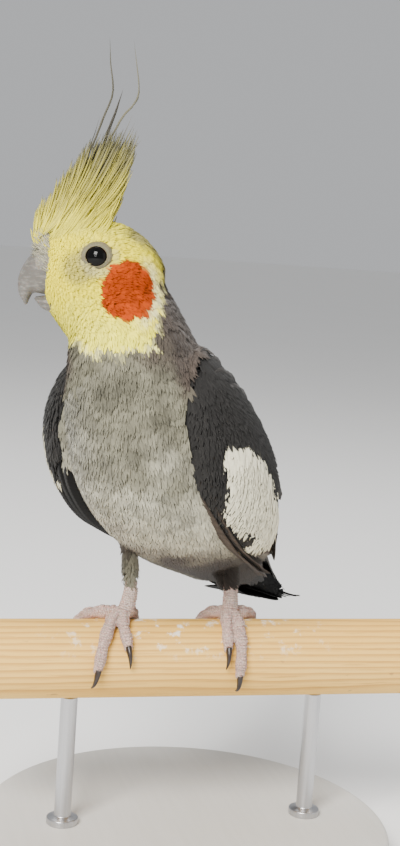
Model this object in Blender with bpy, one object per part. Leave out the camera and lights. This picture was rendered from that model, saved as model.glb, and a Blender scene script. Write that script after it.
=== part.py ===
"""Cockatiel gripping a short cut length of dowel, held by a plain display stand.

Metres, +Z up. The origin is the middle of the underside of the stand's base. The perch runs
along X, and the front toes come over it toward -Y. The bird's own frame stands between its
feet on top of the perch: forward, to its left, and up. The head has a frame of its own,
because the bird looks to its right, away from the way its body faces.
"""

import math

import bmesh
import bpy
from mathutils import Matrix, Vector

MM = 0.001
GAP = 0.0003

# Stand and perch
BASE_RADIUS = 0.062
BASE_HEIGHT = 0.010
BASE_EDGE = 0.0016
ROD_RADIUS = 0.0025
ROD_OFFSET = 0.038
PERCH_RADIUS = 0.0115
PERCH_LENGTH = 0.136
PERCH_EDGE = 0.0007
PERCH_TOP = 0.072
PERCH_AXIS = PERCH_TOP - PERCH_RADIUS

# Frames of the body and the head
FEET_X = -0.006
BODY_YAW = math.radians(42)
HEAD_YAW = math.radians(105)
HEAD_PLACE = (29.9, -15.3, 102.0)

# Middle line from the tail's tip to inside the head: forward, left, up, half width, half depth
SPINE = [
    (-161.0, -28.0, -28.3, 1.2, 0.5),
    (-142.0, -23.8, -24.0, 4.8, 1.1),
    (-115.0, -18.5, -17.0, 8.2, 1.9),
    (-85.0, -13.0, -8.0, 10.2, 2.8),
    (-56.0, -8.0, 2.6, 10.8, 5.4),
    (-42.0, -5.8, 9.2, 12.5, 9.0),
    (-24.5, -5.4, 21.0, 20.5, 14.5),
    (-3.0, -4.6, 35.8, 25.5, 21.5),
    (13.0, -3.4, 49.8, 26.0, 24.5),
    (22.6, -4.2, 63.8, 23.5, 22.5),
    (27.0, -5.9, 76.0, 20.0, 19.8),
    (27.8, -8.6, 86.0, 17.0, 17.5),
    (27.4, -12.0, 96.0, 13.5, 14.5),
    (27.6, -14.4, 106.0, 8.0, 8.0),
]
SPINE_STEPS = 2
TAIL_END = 5
TRUNK_END = 10

# Head seen from its side: forward, top, bottom, half width
HEAD = [
    (-15.9, 3.4, -11.0, 5.5),
    (-13.6, 7.0, -16.8, 9.4),
    (-9.5, 11.0, -20.6, 12.4),
    (-4.0, 13.8, -22.8, 14.0),
    (2.0, 14.6, -23.0, 13.6),
    (7.5, 14.2, -20.6, 11.8),
    (12.0, 12.9, -16.0, 9.2),
    (16.0, 11.6, -10.5, 6.6),
    (19.2, 10.2, 1.5, 3.4),
]
HEAD_REAR = (-16.7, -3.5)
HEAD_FRONT = (20.6, 7.5)
CHEEK_RISE = 0.48

EYE_PLACE = (1.5, 3.9)
EYE_RADIUS = 3.6
EYE_OUT = 0.6

# Bill: forward and up of its ridge, forward and up of its inner edge, half width
BILL_UPPER = [
    (9.0, 5.4, 9.0, -7.4, 5.2),
    (14.0, 6.5, 12.8, -7.5, 5.7),
    (18.2, 5.4, 16.0, -7.3, 5.3),
    (21.6, 2.0, 18.4, -7.1, 4.4),
    (23.7, -2.8, 19.6, -7.4, 3.1),
    (23.5, -7.2, 20.3, -8.7, 1.8),
    (21.6, -10.6, 20.9, -10.2, 0.5),
]
BILL_LOWER = [
    (9.0, -7.6, 9.0, -12.0, 4.2),
    (13.0, -7.6, 13.2, -12.4, 4.4),
    (16.2, -7.4, 16.6, -11.6, 3.6),
    (18.4, -7.8, 19.2, -9.0, 1.4),
]

# Crest: height, rear edge, front edge, half thickness
CREST = [
    (8.0, -4.2, 19.0, 4.6),
    (14.0, -3.7, 18.2, 4.0),
    (19.0, -3.7, 16.6, 3.2),
    (25.0, -4.0, 12.8, 2.5),
    (31.0, -4.4, 9.6, 1.8),
    (35.0, -4.9, 5.6, 1.2),
    (37.8, -5.4, -1.2, 0.7),
]
PLUME_ROOT = 0.7
PLUME_TIP = 0.32
PLUME_SPREAD = 1.0
PLUMES = [
    [(5.2, 33.5), (4.5, 36.5), (2.8, 41.8), (0.8, 48.6), (1.9, 57.0), (2.5, 63.3)],
    [(0.6, 35.0), (-1.0, 39.8), (-2.8, 43.0), (-5.1, 46.1), (-6.0, 51.0), (-4.0, 62.7)],
    [(2.6, 34.0), (1.6, 38.0), (-0.2, 43.6), (-1.9, 49.9)],
]

# Left wing, folded: forward, then left and up of its lower edge and of its upper edge,
# then how far its middle bulges outward and its thickness
WING = [
    (34.0, 16.6, 59.5, 15.0, 67.5, 0.8, 3.0),
    (30.5, 19.4, 51.0, 14.5, 77.0, 4.0, 4.5),
    (21.5, 22.2, 39.5, 12.0, 84.0, 9.5, 5.5),
    (7.0, 22.8, 28.0, 7.5, 79.5, 12.5, 6.5),
    (-11.0, 20.2, 20.5, 2.5, 62.5, 12.0, 6.0),
    (-32.0, 14.2, 13.5, -3.0, 43.5, 7.6, 4.8),
    (-56.0, 6.5, 5.0, -7.0, 26.5, 4.5, 3.2),
    (-80.0, -0.5, -3.0, -10.5, 11.5, 2.6, 2.2),
    (-102.0, -7.5, -10.0, -14.0, -1.5, 1.2, 1.5),
    (-120.0, -14.5, -14.5, -17.0, -11.0, 0.4, 1.0),
]
WING_PART = 5
WING_STEPS = 2
WING_CHORD_POINTS = 6
WING_RIM = 0.35
WING_ARCH = 0.8
MIDLINE_LEFT = -4.4
MIDLINE_DRIFT = 0.17
DRIFT_START = -30.0

# Legs in the row's own axes, in millimetres: three points and their radii
THIGHS = {
    "right": [(-21.0, 6.0, 106.0, 8.0), (-22.2, 1.6, 95.0, 3.6), (-21.6, 0.8, 80.2, 2.5)],
    "left": [(4.0, 12.0, 102.0, 8.5), (7.2, 8.0, 92.0, 6.0), (9.8, 3.2, 80.2, 3.4)],
}
SHANK_RADIUS = 2.1
SHANKS = {
    "right": [(-21.6, 0.8, 81.0), (-23.2, -0.6, 74.4)],
    "left": [(9.8, 3.2, 81.0), (9.0, -0.4, 74.4)],
}
# Toes over the round perch: where along X, turned how far over the front, in degrees
TOES = {
    "right": [
        [(-22.6, -4), (-19.4, -26), (-17.6, -58)],
        [(-23.6, 4), (-24.6, 26), (-23.7, 60)],
        [(-24.4, 4), (-27.6, 20), (-30.8, 54), (-32.6, 88)],
        [(-24.6, -4), (-29.6, -16), (-33.8, -38), (-36.6, -72)],
    ],
    "left": [
        [(8.4, -4), (4.6, -26), (2.6, -58)],
        [(8.4, 4), (6.9, 26), (6.2, 62)],
        [(9.4, 4), (10.3, 26), (10.2, 62), (9.9, 97)],
        [(9.6, -4), (14.4, -14), (18.4, -36), (20.6, -70)],
    ],
}
TOE_RADII = (2.1, 1.5)
TOE_STEPS = 3
TOE_PRESS = 0.92
CLAW_RADIUS = 1.05
CLAW_TIP = 0.3
CLAW_START = 3
CLAW_TURN = 25
CLAW_RISE = 0.9
CLAW_LIFT = 0.2
CLAW_POINTS = 5

RING_SIDES = 20
HEAD_STEPS = 2
BILL_SIDES = 14
CREST_SIDES = 16
LEG_SIDES = 12


def material(name, colour, roughness, metallic=0.0):
    made = bpy.data.materials.new(name)
    made.use_nodes = True
    shader = made.node_tree.nodes["Principled BSDF"]
    shader.inputs["Base Color"].default_value = (*colour, 1.0)
    shader.inputs["Roughness"].default_value = roughness
    shader.inputs["Metallic"].default_value = metallic
    return made


def frame(origin, yaw):
    """A frame whose forward axis is -Y turned by yaw toward -X."""
    forward = Vector((-math.sin(yaw), -math.cos(yaw), 0.0))
    left = Vector((math.cos(yaw), -math.sin(yaw), 0.0))
    up = Vector((0.0, 0.0, 1.0))
    turn = Matrix((forward, left, up)).transposed().to_4x4()
    return Matrix.Translation(origin) @ turn


BODY = frame(Vector((FEET_X, 0.0, PERCH_TOP)), BODY_YAW)
HEAD_FRAME = frame(BODY @ (Vector(HEAD_PLACE) * MM), HEAD_YAW)


def smooth(table, steps):
    """Catmull-Rom rows between the rows of a table."""
    rows = [Vector(row) for row in table]
    ends = [2 * rows[0] - rows[1]] + rows + [2 * rows[-1] - rows[-2]]
    out = []
    for index in range(1, len(ends) - 2):
        before, start, stop, after = ends[index - 1:index + 3]
        for step in range(steps):
            t = step / steps
            out.append(0.5 * (2 * start + (stop - before) * t
                              + (2 * before - 5 * start + 4 * stop - after) * t ** 2
                              + (3 * start - before - 3 * stop + after) * t ** 3))
    out.append(rows[-1])
    return out


def loft(name, rings, finish=None):
    """A closed body through rings of equal count; a one-point ring closes it to a point."""
    mesh = bpy.data.meshes.new(name)
    work = bmesh.new()
    rows = [[work.verts.new(point) for point in ring] for ring in rings]
    for first, second in zip(rows, rows[1:]):
        count = max(len(first), len(second))
        for index in range(count):
            after = (index + 1) % count
            corners = [first[index % len(first)], first[after % len(first)],
                       second[after % len(second)], second[index % len(second)]]
            unique = list(dict.fromkeys(corners))
            work.faces.new(unique)
    for row in (rows[0], rows[-1]):
        if len(row) > 2:
            work.faces.new(row)
    bmesh.ops.triangulate(work, faces=work.faces)
    bmesh.ops.recalc_face_normals(work, faces=work.faces)
    work.to_mesh(mesh)
    work.free()
    mesh.shade_smooth()
    made = bpy.data.objects.new(name, mesh)
    bpy.context.collection.objects.link(made)
    if finish:
        mesh.materials.append(finish)
    return made


def as_cutter(cutter):
    cutter.hide_render = True
    cutter.display_type = "WIRE"
    return cutter


def boolean(target, tool, operation="DIFFERENCE", solver="EXACT"):
    step = target.modifiers.new(operation.lower(), "BOOLEAN")
    step.operation = operation
    step.object = as_cutter(tool)
    step.solver = solver


def ellipse(centre, side, rise, wide, deep, count=RING_SIDES):
    """Points round an ellipse, from its side axis toward its rise axis."""
    turns = [2 * math.pi * index / count for index in range(count)]
    return [centre + side * wide * math.cos(turn) + rise * deep * math.sin(turn)
            for turn in turns]


def spine_rings(grow=0.0):
    """Rings square to the body's middle line, in world metres."""
    rows = smooth(SPINE, SPINE_STEPS)
    centres = [BODY @ (Vector(row[:3]) * MM) for row in rows]
    left = BODY.to_3x3() @ Vector((0.0, 1.0, 0.0))
    rings = []
    for index, row in enumerate(rows):
        ahead = centres[min(index + 1, len(rows) - 1)]
        behind = centres[max(index - 1, 0)]
        along = (ahead - behind).normalized()
        rise = left.cross(along).normalized()
        side = along.cross(rise).normalized()
        rings.append(ellipse(centres[index], side, rise, row[3] * MM + grow,
                             row[4] * MM + grow))
    return rings


def shifted(rings, distance):
    """The same rings, with the first one moved in along the body by a distance."""
    first = sum(rings[0], Vector()) / len(rings[0])
    second = sum(rings[1], Vector()) / len(rings[1])
    step = (second - first).normalized() * distance
    return [[point + step for point in rings[0]]] + rings[1:]


def head_ring(row, grow=0.0):
    """One upright section of the head, widest at the cheek."""
    forward, top, bottom, wide = row
    middle = bottom + CHEEK_RISE * (top - bottom)
    ring = []
    for index in range(RING_SIDES):
        turn = 2 * math.pi * index / RING_SIDES
        rise = top - middle if math.sin(turn) > 0 else middle - bottom
        place = Vector((forward, wide * math.cos(turn), middle + rise * math.sin(turn)))
        outward = Vector((0.0, math.cos(turn), math.sin(turn))) * grow
        ring.append(HEAD_FRAME @ (place * MM + outward))
    return ring


def head_loft(name, grow=0.0, finish=None):
    rings = [head_ring(row, grow) for row in smooth(HEAD, HEAD_STEPS)]
    rear = Vector((HEAD_REAR[0] * MM - grow, 0.0, HEAD_REAR[1] * MM))
    front = Vector((HEAD_FRONT[0] * MM + grow, 0.0, HEAD_FRONT[1] * MM))
    return loft(name, [[HEAD_FRAME @ rear]] + rings + [[HEAD_FRAME @ front]], finish)


def head_half_width(forward, up):
    """How far the head's side stands out from its middle plane, in millimetres."""
    rows = smooth(HEAD, 8)
    row = min(rows, key=lambda item: abs(item[0] - forward))
    top, bottom, wide = row[1:]
    middle = bottom + CHEEK_RISE * (top - bottom)
    rise = top - middle if up > middle else middle - bottom
    return wide * math.sqrt(1.0 - ((up - middle) / rise) ** 2)


def tube(name, points, radii, finish=None, sides=7, tip=True, grow=0.0):
    """A tapering tube through world points, square to its path at every ring."""
    rings = []
    side = None
    for index, point in enumerate(points):
        ahead = points[min(index + 1, len(points) - 1)]
        behind = points[max(index - 1, 0)]
        along = (ahead - behind).normalized()
        if side is None:
            side = along.orthogonal().normalized()
        side = (side - along * side.dot(along)).normalized()
        rise = along.cross(side)
        radius = radii[index] + grow
        rings.append(ellipse(point, side, rise, radius, radius, sides))
    if tip:
        along = (points[-1] - points[-2]).normalized()
        rings.append([points[-1] + along * radii[-1] * 0.7])
    return loft(name, rings, finish)


def bill(name, table, grow=0.0, finish=None):
    """A bent, tapering horn in the head's middle plane, from its ridge to its inner edge."""
    left = Vector((0.0, 1.0, 0.0))
    rings = []
    for row in smooth(table, 2):
        ridge = Vector((row[0], 0.0, row[1])) * MM
        inner = Vector((row[2], 0.0, row[3])) * MM
        rise = (ridge - inner).normalized()
        ring = ellipse((ridge + inner) / 2, left, rise, row[4] * MM + grow,
                       (ridge - inner).length / 2 + grow, BILL_SIDES)
        rings.append([HEAD_FRAME @ point for point in ring])
    if grow:
        rings[0] = [point - HEAD_FRAME.to_3x3() @ Vector((grow, 0.0, 0.0)) for point in rings[0]]
    return loft(name, rings, finish)


def crest_loft(name, grow=0.0, finish=None):
    """The dense fan of the crest, as level sections that narrow to its top."""
    rings = []
    for up, rear, front, half in smooth(CREST, 2):
        centre = Vector(((rear + front) / 2, 0.0, up)) * MM
        ring = ellipse(centre, Vector((1, 0, 0)), Vector((0, 1, 0)),
                       (front - rear) / 2 * MM + grow, half * MM + grow, CREST_SIDES)
        rings.append([HEAD_FRAME @ point for point in ring])
    if grow:
        rings.append([HEAD_FRAME @ (centre + Vector((0, 0, grow)))])
    return loft(name, rings, finish)


def midline(forward):
    """Where the body's middle plane lies at a place along it: it drifts with the tail."""
    return MIDLINE_LEFT + MIDLINE_DRIFT * min(forward - DRIFT_START, 0.0)


def wing_rings(row, sign):
    """A section of a folded wing: an arched outer side and an inner side inside it."""
    forward, low_left, low_up, top_left, top_up, bulge, thick = row
    middle = midline(forward)
    low = Vector((forward, middle + sign * (low_left - middle), low_up))
    top = Vector((forward, middle + sign * (top_left - middle), top_up))
    chord = top - low
    out = Vector((0.0, sign * chord.z, -sign * chord.y)).normalized()
    outer = []
    inner = []
    for index in range(WING_CHORD_POINTS):
        t = index / (WING_CHORD_POINTS - 1)
        arch = math.sin(math.pi * t ** WING_ARCH)
        body = math.sqrt(max(1.0 - (2 * t - 1) ** 2, 0.0))
        place = low + chord * t + out * bulge * arch
        outer.append(place + out * WING_RIM)
        inner.append(place - out * (WING_RIM + thick * body))
    return [BODY @ (point * MM) for point in outer + inner[::-1]]


def wing(side, sign, body_room, finish, flight_finish):
    """The covert part and the long flight feathers of one wing, with a parting gap."""
    part = WING_PART * WING_STEPS
    rings = [wing_rings(row, sign) for row in smooth(WING, WING_STEPS)]
    coverts = loft("wing_" + side, rings[:part + 1], finish)
    flights = loft("wing_" + side + "_primaries", shifted(rings[part:], GAP), flight_finish)
    for piece in (coverts, flights):
        boolean(piece, body_room, solver="MANIFOLD")


def on_perch(x, turn, radius):
    """A point over the round perch, turned forward from its top."""
    angle = math.radians(turn)
    return Vector((x * MM, -radius * math.sin(angle), PERCH_AXIS + radius * math.cos(angle)))


def toe_path(stops):
    """Points and radii of a toe that lies on the perch."""
    rows = smooth(stops, TOE_STEPS)
    last = len(rows) - 1
    points = []
    sizes = []
    for index, (x, turn) in enumerate(rows):
        radius = (TOE_RADII[0] + (TOE_RADII[1] - TOE_RADII[0]) * index / last) * MM
        sizes.append(radius)
        points.append(on_perch(x, turn, PERCH_RADIUS + radius * TOE_PRESS))
    return points, sizes


def claw(name, stops, cutter, finish):
    """A curved claw that goes on from a toe's end, with a gap between them."""
    x, turn = stops[-1]
    before_x, before_turn = stops[-2]
    way = 1 if turn > before_turn else -1
    slope = (x - before_x) / abs(turn - before_turn)
    points = []
    radii = []
    for index in range(CLAW_POINTS):
        t = index / (CLAW_POINTS - 1)
        lift = (CLAW_LIFT + CLAW_RISE * math.sin(math.pi * t)) * MM
        radius = (CLAW_RADIUS + (CLAW_TIP - CLAW_RADIUS) * t) * MM
        angle = turn + way * (CLAW_START + CLAW_TURN * t)
        points.append(on_perch(x + slope * CLAW_TURN * t, angle,
                               PERCH_RADIUS + GAP + radius + lift))
        radii.append(radius)
    made = tube(name, points, radii, finish, sides=6)
    boolean(made, cutter)
    return made


def foot(side, perch_cutter, skin, horn):
    """The bare shank, the palm and four toes, joined into one body, and four claws."""
    start, end = [Vector(point) * MM for point in SHANKS[side]]
    radius = SHANK_RADIUS * MM
    shank = tube("foot_" + side, [start, start.lerp(end, 0.5), end],
                 [radius * 0.95, radius, radius * 1.15], skin, sides=9)
    for number, stops in enumerate(TOES[side], start=1):
        points, sizes = toe_path(stops)
        toe = tube(f"toe_{side}_{number}", points, sizes)
        boolean(shank, toe, "UNION")
        nail = claw(f"claw_{side}_{number}", stops, perch_cutter, horn)
        boolean(nail, tube(f"toe_room_{side}_{number}", points, sizes, grow=GAP))
    boolean(shank, perch_cutter)


def thigh(side, body_room, finish):
    rows = smooth(THIGHS[side], 3)
    points = [Vector(row[:3]) * MM for row in rows]
    radii = [row[3] * MM for row in rows]
    made = tube("leg_" + side, points, radii, finish, sides=LEG_SIDES, tip=False)
    boolean(made, body_room)
    room = tube("leg_room_" + side, points, radii, sides=LEG_SIDES, tip=False, grow=GAP)
    boolean(bpy.data.objects["foot_" + side], room)


def stand(perch_cutter, wood, steel):
    bpy.ops.mesh.primitive_cylinder_add(vertices=44, radius=BASE_RADIUS, depth=BASE_HEIGHT,
                                        location=(0.0, 0.0, BASE_HEIGHT / 2))
    base = bpy.context.object
    base.name = "stand_base"
    base.data.materials.append(wood)
    edge = base.modifiers.new("edge", "BEVEL")
    edge.width = BASE_EDGE
    edge.segments = 1
    for name, way in (("stand_rod_left", -1), ("stand_rod_right", 1)):
        bottom = BASE_HEIGHT + GAP
        bpy.ops.mesh.primitive_cylinder_add(
            vertices=16, radius=ROD_RADIUS, depth=PERCH_AXIS - bottom,
            location=(way * ROD_OFFSET, 0.0, (PERCH_AXIS + bottom) / 2))
        rod = bpy.context.object
        rod.name = name
        rod.data.materials.append(steel)
        boolean(rod, perch_cutter)


def perch(name, grow=0.0, finish=None):
    bpy.ops.mesh.primitive_cylinder_add(
        vertices=40, radius=PERCH_RADIUS + grow, depth=PERCH_LENGTH + 2 * grow,
        location=(0.0, 0.0, PERCH_AXIS), rotation=(0.0, math.pi / 2, 0.0))
    made = bpy.context.object
    made.name = name
    if finish:
        made.data.materials.append(finish)
        edge = made.modifiers.new("edge", "BEVEL")
        edge.width = PERCH_EDGE
        edge.segments = 1
        edge.limit_method = "ANGLE"
    return made


def head(yellow, horn, black, crest_finish):
    eye_up = EYE_PLACE[1]
    eye_side = head_half_width(*EYE_PLACE) + EYE_OUT - EYE_RADIUS
    skull = head_loft("head", finish=yellow)
    upper = bill("bill_upper", BILL_UPPER, finish=horn)
    lower = bill("bill_lower", BILL_LOWER, finish=horn)
    upper_room = bill("bill_upper_room", BILL_UPPER, grow=GAP)
    lower_room = bill("bill_lower_room", BILL_LOWER, grow=GAP)
    boolean(lower, upper_room)
    boolean(skull, upper_room)
    boolean(skull, lower_room)
    for side, sign in (("left", 1), ("right", -1)):
        place = HEAD_FRAME @ (Vector((EYE_PLACE[0], sign * eye_side, eye_up)) * MM)
        for name, radius in (("eye_" + side, EYE_RADIUS * MM),
                             ("eye_room_" + side, EYE_RADIUS * MM + GAP)):
            bpy.ops.mesh.primitive_uv_sphere_add(segments=14, ring_count=8, radius=radius,
                                                 location=place)
            bpy.context.object.name = name
            bpy.context.object.data.shade_smooth()
        bpy.data.objects["eye_" + side].data.materials.append(black)
        boolean(skull, bpy.data.objects["eye_room_" + side])
    fan = crest_loft("crest", finish=crest_finish)
    boolean(fan, head_loft("head_room", grow=GAP))
    fan_room = crest_loft("crest_room", grow=GAP)
    for number, route in enumerate(PLUMES, start=1):
        rows = smooth(route, 3)
        last = len(rows) - 1
        aside = (2 - number) * PLUME_SPREAD
        points = [HEAD_FRAME @ (Vector((row[0], aside, row[1])) * MM) for row in rows]
        radii = [(PLUME_ROOT + (PLUME_TIP - PLUME_ROOT) * index / last) * MM
                 for index in range(last + 1)]
        plume = tube(f"crest_plume_{number}", points, radii, crest_finish, sides=6)
        boolean(plume, fan_room)


def main():
    for item in list(bpy.data.objects):
        bpy.data.objects.remove(item)

    grey = material("grey_coat", (0.30, 0.28, 0.24), 0.85)
    yellow = material("yellow_coat", (0.85, 0.78, 0.28), 0.85)
    slate = material("slate_coat", (0.06, 0.06, 0.065), 0.75)
    horn = material("horn", (0.32, 0.28, 0.27), 0.45)
    black = material("eye_black", (0.005, 0.005, 0.005), 0.05)
    skin = material("bare_skin", (0.52, 0.38, 0.36), 0.6)
    pine = material("pine", (0.80, 0.62, 0.32), 0.6)
    pale = material("stand_finish", (0.75, 0.74, 0.72), 0.5)
    steel = material("stand_steel", (0.55, 0.55, 0.56), 0.3, 1.0)

    perch("perch", finish=pine)
    perch_room = perch("perch_room", grow=GAP)
    stand(perch_room, pale, steel)

    rings = spine_rings()
    tail_end = TAIL_END * SPINE_STEPS
    trunk_end = TRUNK_END * SPINE_STEPS
    loft("tail", shifted(rings[tail_end::-1], GAP), slate)
    loft("trunk", rings[tail_end:trunk_end + 1], grey)
    neck = loft("neck", shifted(rings[trunk_end:], GAP), grey)
    room = loft("body_room", spine_rings(GAP))
    head(yellow, horn, black, yellow)
    boolean(neck, bpy.data.objects["head_room"])

    wing("left", 1, room, slate, slate)
    wing("right", -1, room, slate, slate)
    for side in ("left", "right"):
        foot(side, perch_room, skin, horn)
        thigh(side, room, grey)


main()
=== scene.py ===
"""Cockatiel on a short cut perch with a plain display stand, built over its CAD frame."""

import math

import bpy
import numpy as np
from bpy.props import FloatProperty, FloatVectorProperty, IntProperty, PointerProperty
from mathutils import Matrix, Vector
from mathutils.bvhtree import BVHTree
from mathutils.kdtree import KDTree


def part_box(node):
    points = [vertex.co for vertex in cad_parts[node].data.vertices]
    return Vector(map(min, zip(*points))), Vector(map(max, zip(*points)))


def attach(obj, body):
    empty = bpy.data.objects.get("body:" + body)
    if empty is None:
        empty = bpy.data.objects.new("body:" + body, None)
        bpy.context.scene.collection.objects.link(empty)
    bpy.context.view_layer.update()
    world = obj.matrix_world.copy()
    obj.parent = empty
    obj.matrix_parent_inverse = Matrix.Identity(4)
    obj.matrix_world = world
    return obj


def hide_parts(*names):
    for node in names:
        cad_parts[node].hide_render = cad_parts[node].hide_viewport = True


bl_info = {
    "name": "Cockatiel on a perch",
    "version": (1, 0, 0),
    "blender": (4, 5, 0),
    "location": "3D View > Sidebar > Cockatiel",
    "description": "Builds the skin, plumage, eyes, bill, feet, perch and stand of a cockatiel",
    "category": "Object",
}

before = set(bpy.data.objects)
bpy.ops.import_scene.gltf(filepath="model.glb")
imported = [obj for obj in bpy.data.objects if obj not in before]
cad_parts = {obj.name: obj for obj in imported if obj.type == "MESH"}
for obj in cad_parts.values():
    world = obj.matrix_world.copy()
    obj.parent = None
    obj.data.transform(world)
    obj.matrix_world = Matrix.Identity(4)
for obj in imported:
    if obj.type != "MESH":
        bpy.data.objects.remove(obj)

MM = 0.001
SEED = 41
BARBS = 5
SIDES = (("left", 1), ("right", -1))

# How each small feather's barb is shaped
SMALL_VANE = {"columns": 3, "fray": 0.05, "cup": 0.12, "round_tip": 0.1, "base": 0.5,
              "peak": 0.5, "tip": 0.3, "soft": True}
# Half width of a barb as a share of its tuft's length, on the body and on the wings
BARB_WIDTH = 0.085
WING_BARB_WIDTH = 0.1

# Voxels that the skin and the feet are joined with, in metres, and their rounds of smoothing
SKIN_VOXEL, SKIN_ROUNDS = 0.0008, 12
FOOT_VOXEL, FOOT_ROUNDS = 0.0003, 4

# The frames of the body and of the turned head, as in the CAD source
PERCH_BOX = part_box("perch")
PERCH_TOP = PERCH_BOX[1].z
PERCH_RADIUS = (PERCH_BOX[1].y - PERCH_BOX[0].y) / 2
PERCH_AXIS = PERCH_TOP - PERCH_RADIUS
FEET_X = -0.006
BODY_YAW = math.radians(42)
HEAD_YAW = math.radians(105)
HEAD_PLACE = (29.9, -15.3, 102.0)

# Middle line from the tail's tip to inside the head: forward, left, up, half width, half depth
SPINE = np.array([
    (-161.0, -28.0, -28.3, 1.2, 0.5),
    (-142.0, -23.8, -24.0, 4.8, 1.1),
    (-115.0, -18.5, -17.0, 8.2, 1.9),
    (-85.0, -13.0, -8.0, 10.2, 2.8),
    (-56.0, -8.0, 2.6, 10.8, 5.4),
    (-42.0, -5.8, 9.2, 12.5, 9.0),
    (-24.5, -5.4, 21.0, 20.5, 14.5),
    (-3.0, -4.6, 35.8, 25.5, 21.5),
    (13.0, -3.4, 49.8, 26.0, 24.5),
    (22.6, -4.2, 63.8, 23.5, 22.5),
    (27.0, -5.9, 76.0, 20.0, 19.8),
    (27.8, -8.6, 86.0, 17.0, 17.5),
    (27.4, -12.0, 96.0, 13.5, 14.5),
    (27.6, -14.4, 106.0, 8.0, 8.0),
])
RUMP_ROW = 3.0
TAIL_ROW = 4.7

# Head from its side: forward, top, bottom, half width
HEAD = np.array([
    (-15.9, 3.4, -11.0, 5.5),
    (-13.6, 7.0, -16.8, 9.4),
    (-9.5, 11.0, -20.6, 12.4),
    (-4.0, 13.8, -22.8, 14.0),
    (2.0, 14.6, -23.0, 13.6),
    (7.5, 14.2, -20.6, 11.8),
    (12.0, 12.9, -16.0, 9.2),
    (16.0, 11.6, -10.5, 6.6),
    (19.2, 10.2, 1.5, 3.4),
])
CHEEK_RISE = 0.48
EYE_PLACE = (1.5, 3.9)
EYE_RADIUS = 3.6
EYE_OUT = 0.6
BILL_ROOT = (18.0, 0.0, 1.0)

# The cheek's round patch in the head's frame: forward, up and its two radii
CHEEK_PATCH = (-6.6, -4.2, 7.0, 7.9)
# Lower edge of the yellow mask: forward, then up
MASK_FORWARD = (-18.0, -15.0, -7.0, 0.5, 8.0, 12.0)
MASK_UP = (-17.0, -17.6, -19.4, -20.8, -19.9, -18.2)
MASK_BACK = -15.6
# Feathers nearer to the bill's root than this are the head's
HEAD_REACH = 34.0

# Left wing, folded: forward, then left and up of its lower edge and of its upper edge,
# then how far its middle bulges outward and its thickness
WING = np.array([
    (34.0, 16.6, 59.5, 15.0, 67.5, 0.8, 3.0),
    (30.5, 19.4, 51.0, 14.5, 77.0, 4.0, 4.5),
    (21.5, 22.2, 39.5, 12.0, 84.0, 9.5, 5.5),
    (7.0, 22.8, 28.0, 7.5, 79.5, 12.5, 6.5),
    (-11.0, 20.2, 20.5, 2.5, 62.5, 12.0, 6.0),
    (-32.0, 14.2, 13.5, -3.0, 43.5, 7.6, 4.8),
    (-56.0, 6.5, 5.0, -7.0, 26.5, 4.5, 3.2),
    (-80.0, -0.5, -3.0, -10.5, 11.5, 2.6, 2.2),
    (-102.0, -7.5, -10.0, -14.0, -1.5, 1.2, 1.5),
    (-120.0, -14.5, -14.5, -17.0, -11.0, 0.4, 1.0),
])
# The skin's wings: their last row, and how far the skin is off the folded wing's outer side
WING_FLESH = 5
SKIN_UNDER_WING = -1.3
# Smallest radius of the skin's tail end, in metres
THINNEST = 0.0009

# Legs in the row's own axes, in millimetres: three points and their radii
THIGHS = {
    "right": [(-21.0, 6.0, 106.0, 8.0), (-22.2, 1.6, 95.0, 3.6), (-21.6, 0.8, 80.2, 2.5)],
    "left": [(4.0, 12.0, 102.0, 8.5), (7.2, 8.0, 92.0, 6.0), (9.8, 3.2, 80.2, 3.4)],
}
# How low the coat of each leg reaches
COAT_ENDS = {"right": 81.5, "left": 79.5}


def tint(red, green, blue):
    """A screen colour from 0 to 255 as the linear one that shaders take."""
    return tuple(((part / 255 + 0.055) / 1.055) ** 2.4 if part > 10 else part / 255 / 12.92
                 for part in (red, green, blue))


def colour(name, red, green, blue):
    """A colour that a user may change."""
    return FloatVectorProperty(name=name, description=f"{name} in the linear scale",
                               subtype="COLOR", size=3, min=0.0, max=1.0,
                               default=tint(red, green, blue))


class PlumageSettings(bpy.types.PropertyGroup):
    """Sizes and colours of the skin and its coat."""
    body_depth: FloatProperty(name="Body coat depth", subtype="DISTANCE", unit="LENGTH",
                              description="How deep the skin lies under the body's outline",
                              default=0.0019)
    head_depth: FloatProperty(name="Head coat depth", subtype="DISTANCE", unit="LENGTH",
                              description="How deep the skin lies under the head's outline",
                              default=0.0013)
    feather_scale: FloatProperty(name="Feather scale", default=1.0, min=0.5, max=2.0,
                                 description="Length of all small feathers against the usual")
    body_count: IntProperty(name="Tries", default=64000, min=1000,
                            description="Places tried for the roots of small feathers")
    face: colour("Face yellow", 253, 236, 26)
    throat: colour("Throat yellow", 253, 243, 76)
    crown: colour("Crown yellow", 232, 220, 62)
    crest: colour("Crest olive yellow", 184, 174, 66)
    cheek: colour("Cheek orange", 165, 60, 8)
    breast: colour("Breast grey", 112, 109, 92)
    belly: colour("Belly grey", 194, 190, 168)
    back: colour("Back grey", 70, 61, 54)
    wing: colour("Wing slate", 42, 41, 40)
    white: colour("Wing patch white", 244, 238, 208)
    tail: colour("Tail slate", 6, 6, 7)


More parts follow.
